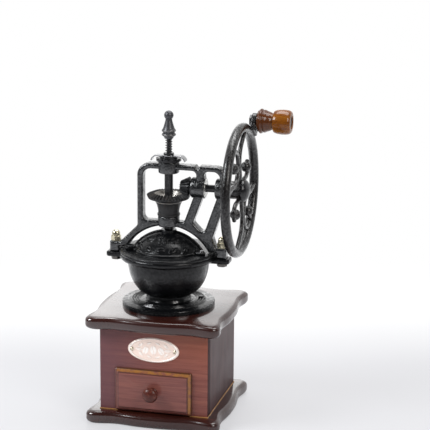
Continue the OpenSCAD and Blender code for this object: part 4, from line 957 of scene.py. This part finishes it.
# ---------------------------------------------------------------- Spindle, adjusting disc, lock plate, spring
# The blackened spindle rises through the bridge. A notched black disc screws up and down on it,
# and a bright spring-loaded plate with two bent wings drops into a notch and locks the disc.
def smooth_path(points, n=8):
    """A path through points: between p1 and p2 it is the Catmull-Rom curve
    (2 p1 + (p2 - p0) t + (2 p0 - 5 p1 + 4 p2 - p3) t^2 + (3 p1 - p0 - 3 p2 + p3) t^3) / 2."""
    p = np.asarray(points, float)
    p = np.vstack([p[:1], p, p[-1:]])
    t = (np.arange(n) / n)[:, None]
    parts = [
        (2 * b + (c - a) * t + (2 * a - 5 * b + 4 * c - d) * t**2 + (3 * b - a - 3 * c + d) * t**3) / 2
        for a, b, c, d in zip(p, p[1:], p[2:], p[3:])
    ]
    return np.vstack(parts + [p[-1:]])


spindle_black = enamel(Finish("blackened_spindle"), (0.014, 0.014, 0.015), 0.28, 0.00004)
softened("spindle", 0.3, spindle_black, "spindle")
softened("adjusting_disc", 0.35, small_black, "adjuster")

half_t, ring_r, wing_half = 0.55, 5.4, 4.0
mid_z = span("lock_plate")[1][2] - half_t
wing = [(15.2, -4.4), (14.6, -2.9), (13.6, -1.6), (11.6, -0.3), (9, 0), (5, 0)]
points = [(x, 0, mid_z + h) for x, h in wing + [(0, 0)] + [(-x, h) for x, h in wing[::-1]]]
form = Form().bar(smooth_path(points, 4), half_t, wing_half, (0, 1, 0), 28, 7.0)
ring = [(2.4, -half_t), (ring_r - 0.2, -half_t), (ring_r, 0.2 - half_t), (ring_r, half_t - 0.15)]
ring += [(ring_r - 0.2, half_t), (2.4, half_t)]
form.revolve(np.array(ring) + (0, mid_z), n=48, loop=True)
lock_steel = metal("bright_spring_steel", (0.40, 0.40, 0.41), 0.25)
finished(form.make("wing_plate"), lock_steel, "lock", ["lock_plate"])
softened("spring_collar", 0.4, small_black, "lock")

spring_low, spring_high = span("lock_spring")
wire, coils = 0.5, 5
coil_r = spring_high[0] - wire
t = np.linspace(0, 1, 36 * coils + 1)
turn = 2 * math.pi * coils * t
rise = spring_low[2] + wire + (spring_high[2] - spring_low[2] - 2 * wire) * t
helix = Form.stand(coil_r * np.cos(turn), coil_r * np.sin(turn), rise, "Z")
outwards = Form.stand(np.cos(turn), np.sin(turn), 0 * turn, "Z")
spring = Form().bar(helix, wire, wire, outwards, 12).make("coil_spring")
finished(spring, small_black, "spindle", ["lock_spring"])
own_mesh(spring)


# ---------------------------------------------------------------- Finial
# A turned nut of dark metal closes the spindle's top and presses the spring. It has two rolled
# rings, a slim waisted cone and a small ball, and its rings have worn a little brighter.
fin_low, fin_high = span("finial")
fin_r, fin_h, ball_share, neck_share = fin_high[0], fin_high[2] - fin_low[2], 0.66, 0.47
turned = [
    (0.01, 0), (0.6, 0), (0.69, 0.045), (0.73, 0.08), (0.9, 0.095), (0.985, 0.12), (1, 0.14), (0.985, 0.16),
    (0.9, 0.182), (0.84, 0.195), (0.83, 0.21), (0.84, 0.226), (0.9, 0.24), (0.985, 0.262), (1, 0.283),
    (0.985, 0.304), (0.91, 0.33), (0.85, 0.348), (0.76, 0.4), (0.69, 0.455), (0.62, 0.52), (0.555, 0.58),
    (0.5, 0.63), (neck_share, 0.665),
]
profile = [(r * fin_r, fin_low[2] + h * fin_h) for r, h in turned]
ball_r, neck_a = ball_share * fin_r, -math.degrees(math.acos(neck_share / ball_share))
profile += [(r + 0.01, h) for r, h in arc(0, fin_high[2] - ball_r, ball_r, neck_a, 90, 23)]
finial_metal = Finish("dark_turned_metal")
x, y, z = finial_metal.axes()
mark = finial_metal.noise((300, 300, 4000), 3.0, 0.6)
from_axis = x.long(y)
wear = from_axis.step((fin_r - 0.8) * MM, (fin_r - 0.1) * MM) * mark.step(0.35, 0.6)
dark = finial_metal.ramp(mark, (0.3, (0.040, 0.041, 0.045)), (0.7, (0.075, 0.076, 0.082)))
finial_finish = finial_metal.show(
    Base_Color=finial_metal.blend(wear * 0.5, dark, (0.24, 0.23, 0.22)),
    Metallic=0.6,
    Roughness=mark * 0.15 + 0.32,
    Normal=finial_metal.bump(mark, 0.00003, 0.5),
)
form = Form().revolve(profile, n=72)
finished(form.make("turned_finial"), finial_finish, "spindle", ["finial"])


# ---------------------------------------------------------------- Crank shaft, wheel and its nut
# The shaft runs through both hubs to an enamelled open wheel: a round rim, two S-shaped spokes,
# scrolls that end in balls, and a flat lug for the handle. A black domed nut holds it on.
shaft_black = enamel(Finish("blackened_shaft"), (0.016, 0.016, 0.017), 0.22, 0.00003)
softened("crank_shaft", 0.3, shaft_black, "crank")
nut_low, nut_high = span("wheel_nut")
wheel_low, wheel_high = span("wheel")
wheel_x, rim_mid, tube, spoke_mid, spoke_half, ball_r = 63.9, 54.3, 4.2, 64.5, 1.8, 4.7
rim_section = arc(rim_mid, wheel_x, tube, 0, 360, 32)[:-1]
form = Form().revolve(rim_section, "X", (0, crank_z), 200, loop=True)
form.revolve(hub(7.9, 3.35, wheel_low[0], nut_low[0], 0.9), "X", (0, crank_z), 72, loop=True)
stem = smooth_path([(-1, 5), (-4.5, 16.6), (-6.3, 24), (-6, 31), (-2, 38.5), (5.5, 44.5), (15, 51.5)], 10)
arm = smooth_path([(-5, 1.8), (-18, 6.5), (-30, 8.6), (-40, 8), (-53, 5)], 10)
scroll = arc(-26, 23.5, 15.3, -95, 122, 60)
hook = smooth_path([(3, 5), (11, 7.4), (19.5, 8.6), (25, 12.4), (25.6, 17.6), (22.6, 21.4)], 10)
tie = np.linspace((-28, 24.7), (-38.1, 33.6), 6)
for s in (-1, 1):
    for path, wide in ((stem, 2.4), (arm, 2.4), (scroll, 2.16), (hook, 1.92), (tie, 2.4)):
        places = Form.level(s * path + (0, crank_z), spoke_mid, "X")
        form.bar(places, wide, spoke_half, (1, 0, 0), 20, 2.5)
    for y, z in ((19.1, 17), (-28, 24.7)):
        form.ball((spoke_mid, s * y, crank_z + s * z), ball_r, 36)
throw, throw_turn, lug_half, lug_x = 66, math.radians(56), 6.7, 65.5
c, s = math.cos(throw_turn), math.sin(throw_turn)
lug = np.vstack([[(rim_mid, -lug_half)], arc(throw, 0, lug_half, -90, 90, 30), [(rim_mid, lug_half)]])
lug = lug @ np.array([[c, s], [-s, c]]) + (0, crank_z)
form.plate([lug], lug_x, wheel_high[0], 1.3, axis="X")
wheel_black = enamel(Finish("wheel_enamel"), (0.0055, 0.0048, 0.0048), 0.24, 0.0008, 0.3, 0.34)
finished(form.make("wheel_casting"), wheel_black, "crank", ["wheel"])
nut_r, nut_h = nut_high[1], nut_high[0] - nut_low[0]
dome = [(0.01, nut_low[0]), (0.97 * nut_r, nut_low[0])]
dome += [
    (nut_r * math.cos(a) + 0.01, nut_low[0] + nut_h * math.sin(a)) for a in np.linspace(0.05, math.pi / 2, 20)
]
form = Form().revolve(dome, "X", (0, crank_z), 72)
finished(form.make("dome_nut"), small_black, "crank", ["wheel_nut"])


# ---------------------------------------------------------------- Handle, its pin and nut
# A turned hardwood knob runs loose on a steel pin riveted through the lug. It is varnished amber,
# darker on the collar beside the wheel, with painted shade in the groove at its waist, and shows its
# turning and its grain along the axis.
softened("handle_pin", 0.3, metal("dark_pin", (0.14, 0.13, 0.12), 0.35), "crank")
softened("handle_nut", 0.3, small_black, "crank")
grip_low, grip_high = span("handle")
axis_y, axis_z = (grip_low[1] + grip_high[1]) / 2, (grip_low[2] + grip_high[2]) / 2
grip_r, grip_l, pin_hole, dimple = grip_high[1] - axis_y, grip_high[0] - grip_low[0], 0.30, 0.52
outline = [
    (pin_hole, 0), (0.62, 0), (0.82, 0.01), (0.86, 0.03), (0.86, 0.045), (0.94, 0.06), (1, 0.1), (0.96, 0.14),
    (0.89, 0.165), (0.88, 0.18), (0.92, 0.2), (0.91, 0.225), (0.83, 0.29), (0.755, 0.37), (0.68, 0.43),
    (0.665, 0.455), (0.7, 0.468), (0.82, 0.48), (0.89, 0.505), (0.95, 0.57), (0.985, 0.66), (1, 0.77),
    (0.985, 0.87), (0.94, 0.935), (0.86, 0.98), (0.74, 1), (0.55, 1), (dimple, 0.99), (dimple, 0.91),
    (pin_hole, 0.91),
]
profile = smooth_path([(grip_r * r, grip_low[0] + grip_l * x) for r, x in outline], 5)
form = Form().revolve(np.minimum(profile, (grip_r, grip_high[0])), "X", (axis_y, axis_z), 96, loop=True)
stain = (0.085, 0.021, 0.002), (0.155, 0.046, 0.003), (0.245, 0.088, 0.007)
amber, colour, streaks = wood("amber_wood", 0, *stain, 1.2)
x, y, z = amber.axes()
place = (x - grip_low[0] * MM) / (grip_l * MM)
collar = 1 - (place + (streaks - 0.5) * 0.12).step(0.36, 0.5)
colour = amber.blend(collar * 0.85, colour, (0.055, 0.014, 0.004))
# Painted shade: the groove at the waist is blended darker.
groove = place.step(0.445, 0.46) - place.step(0.47, 0.485)
colour = amber.blend(groove * 0.7, colour, (0.02, 0.006, 0.003))
amber_finish = varnish(amber, colour, streaks, 0.24, 0.5, 0.1, 1.5, 0.05)
finished(form.make("amber_grip"), amber_finish, "handle", ["handle"])
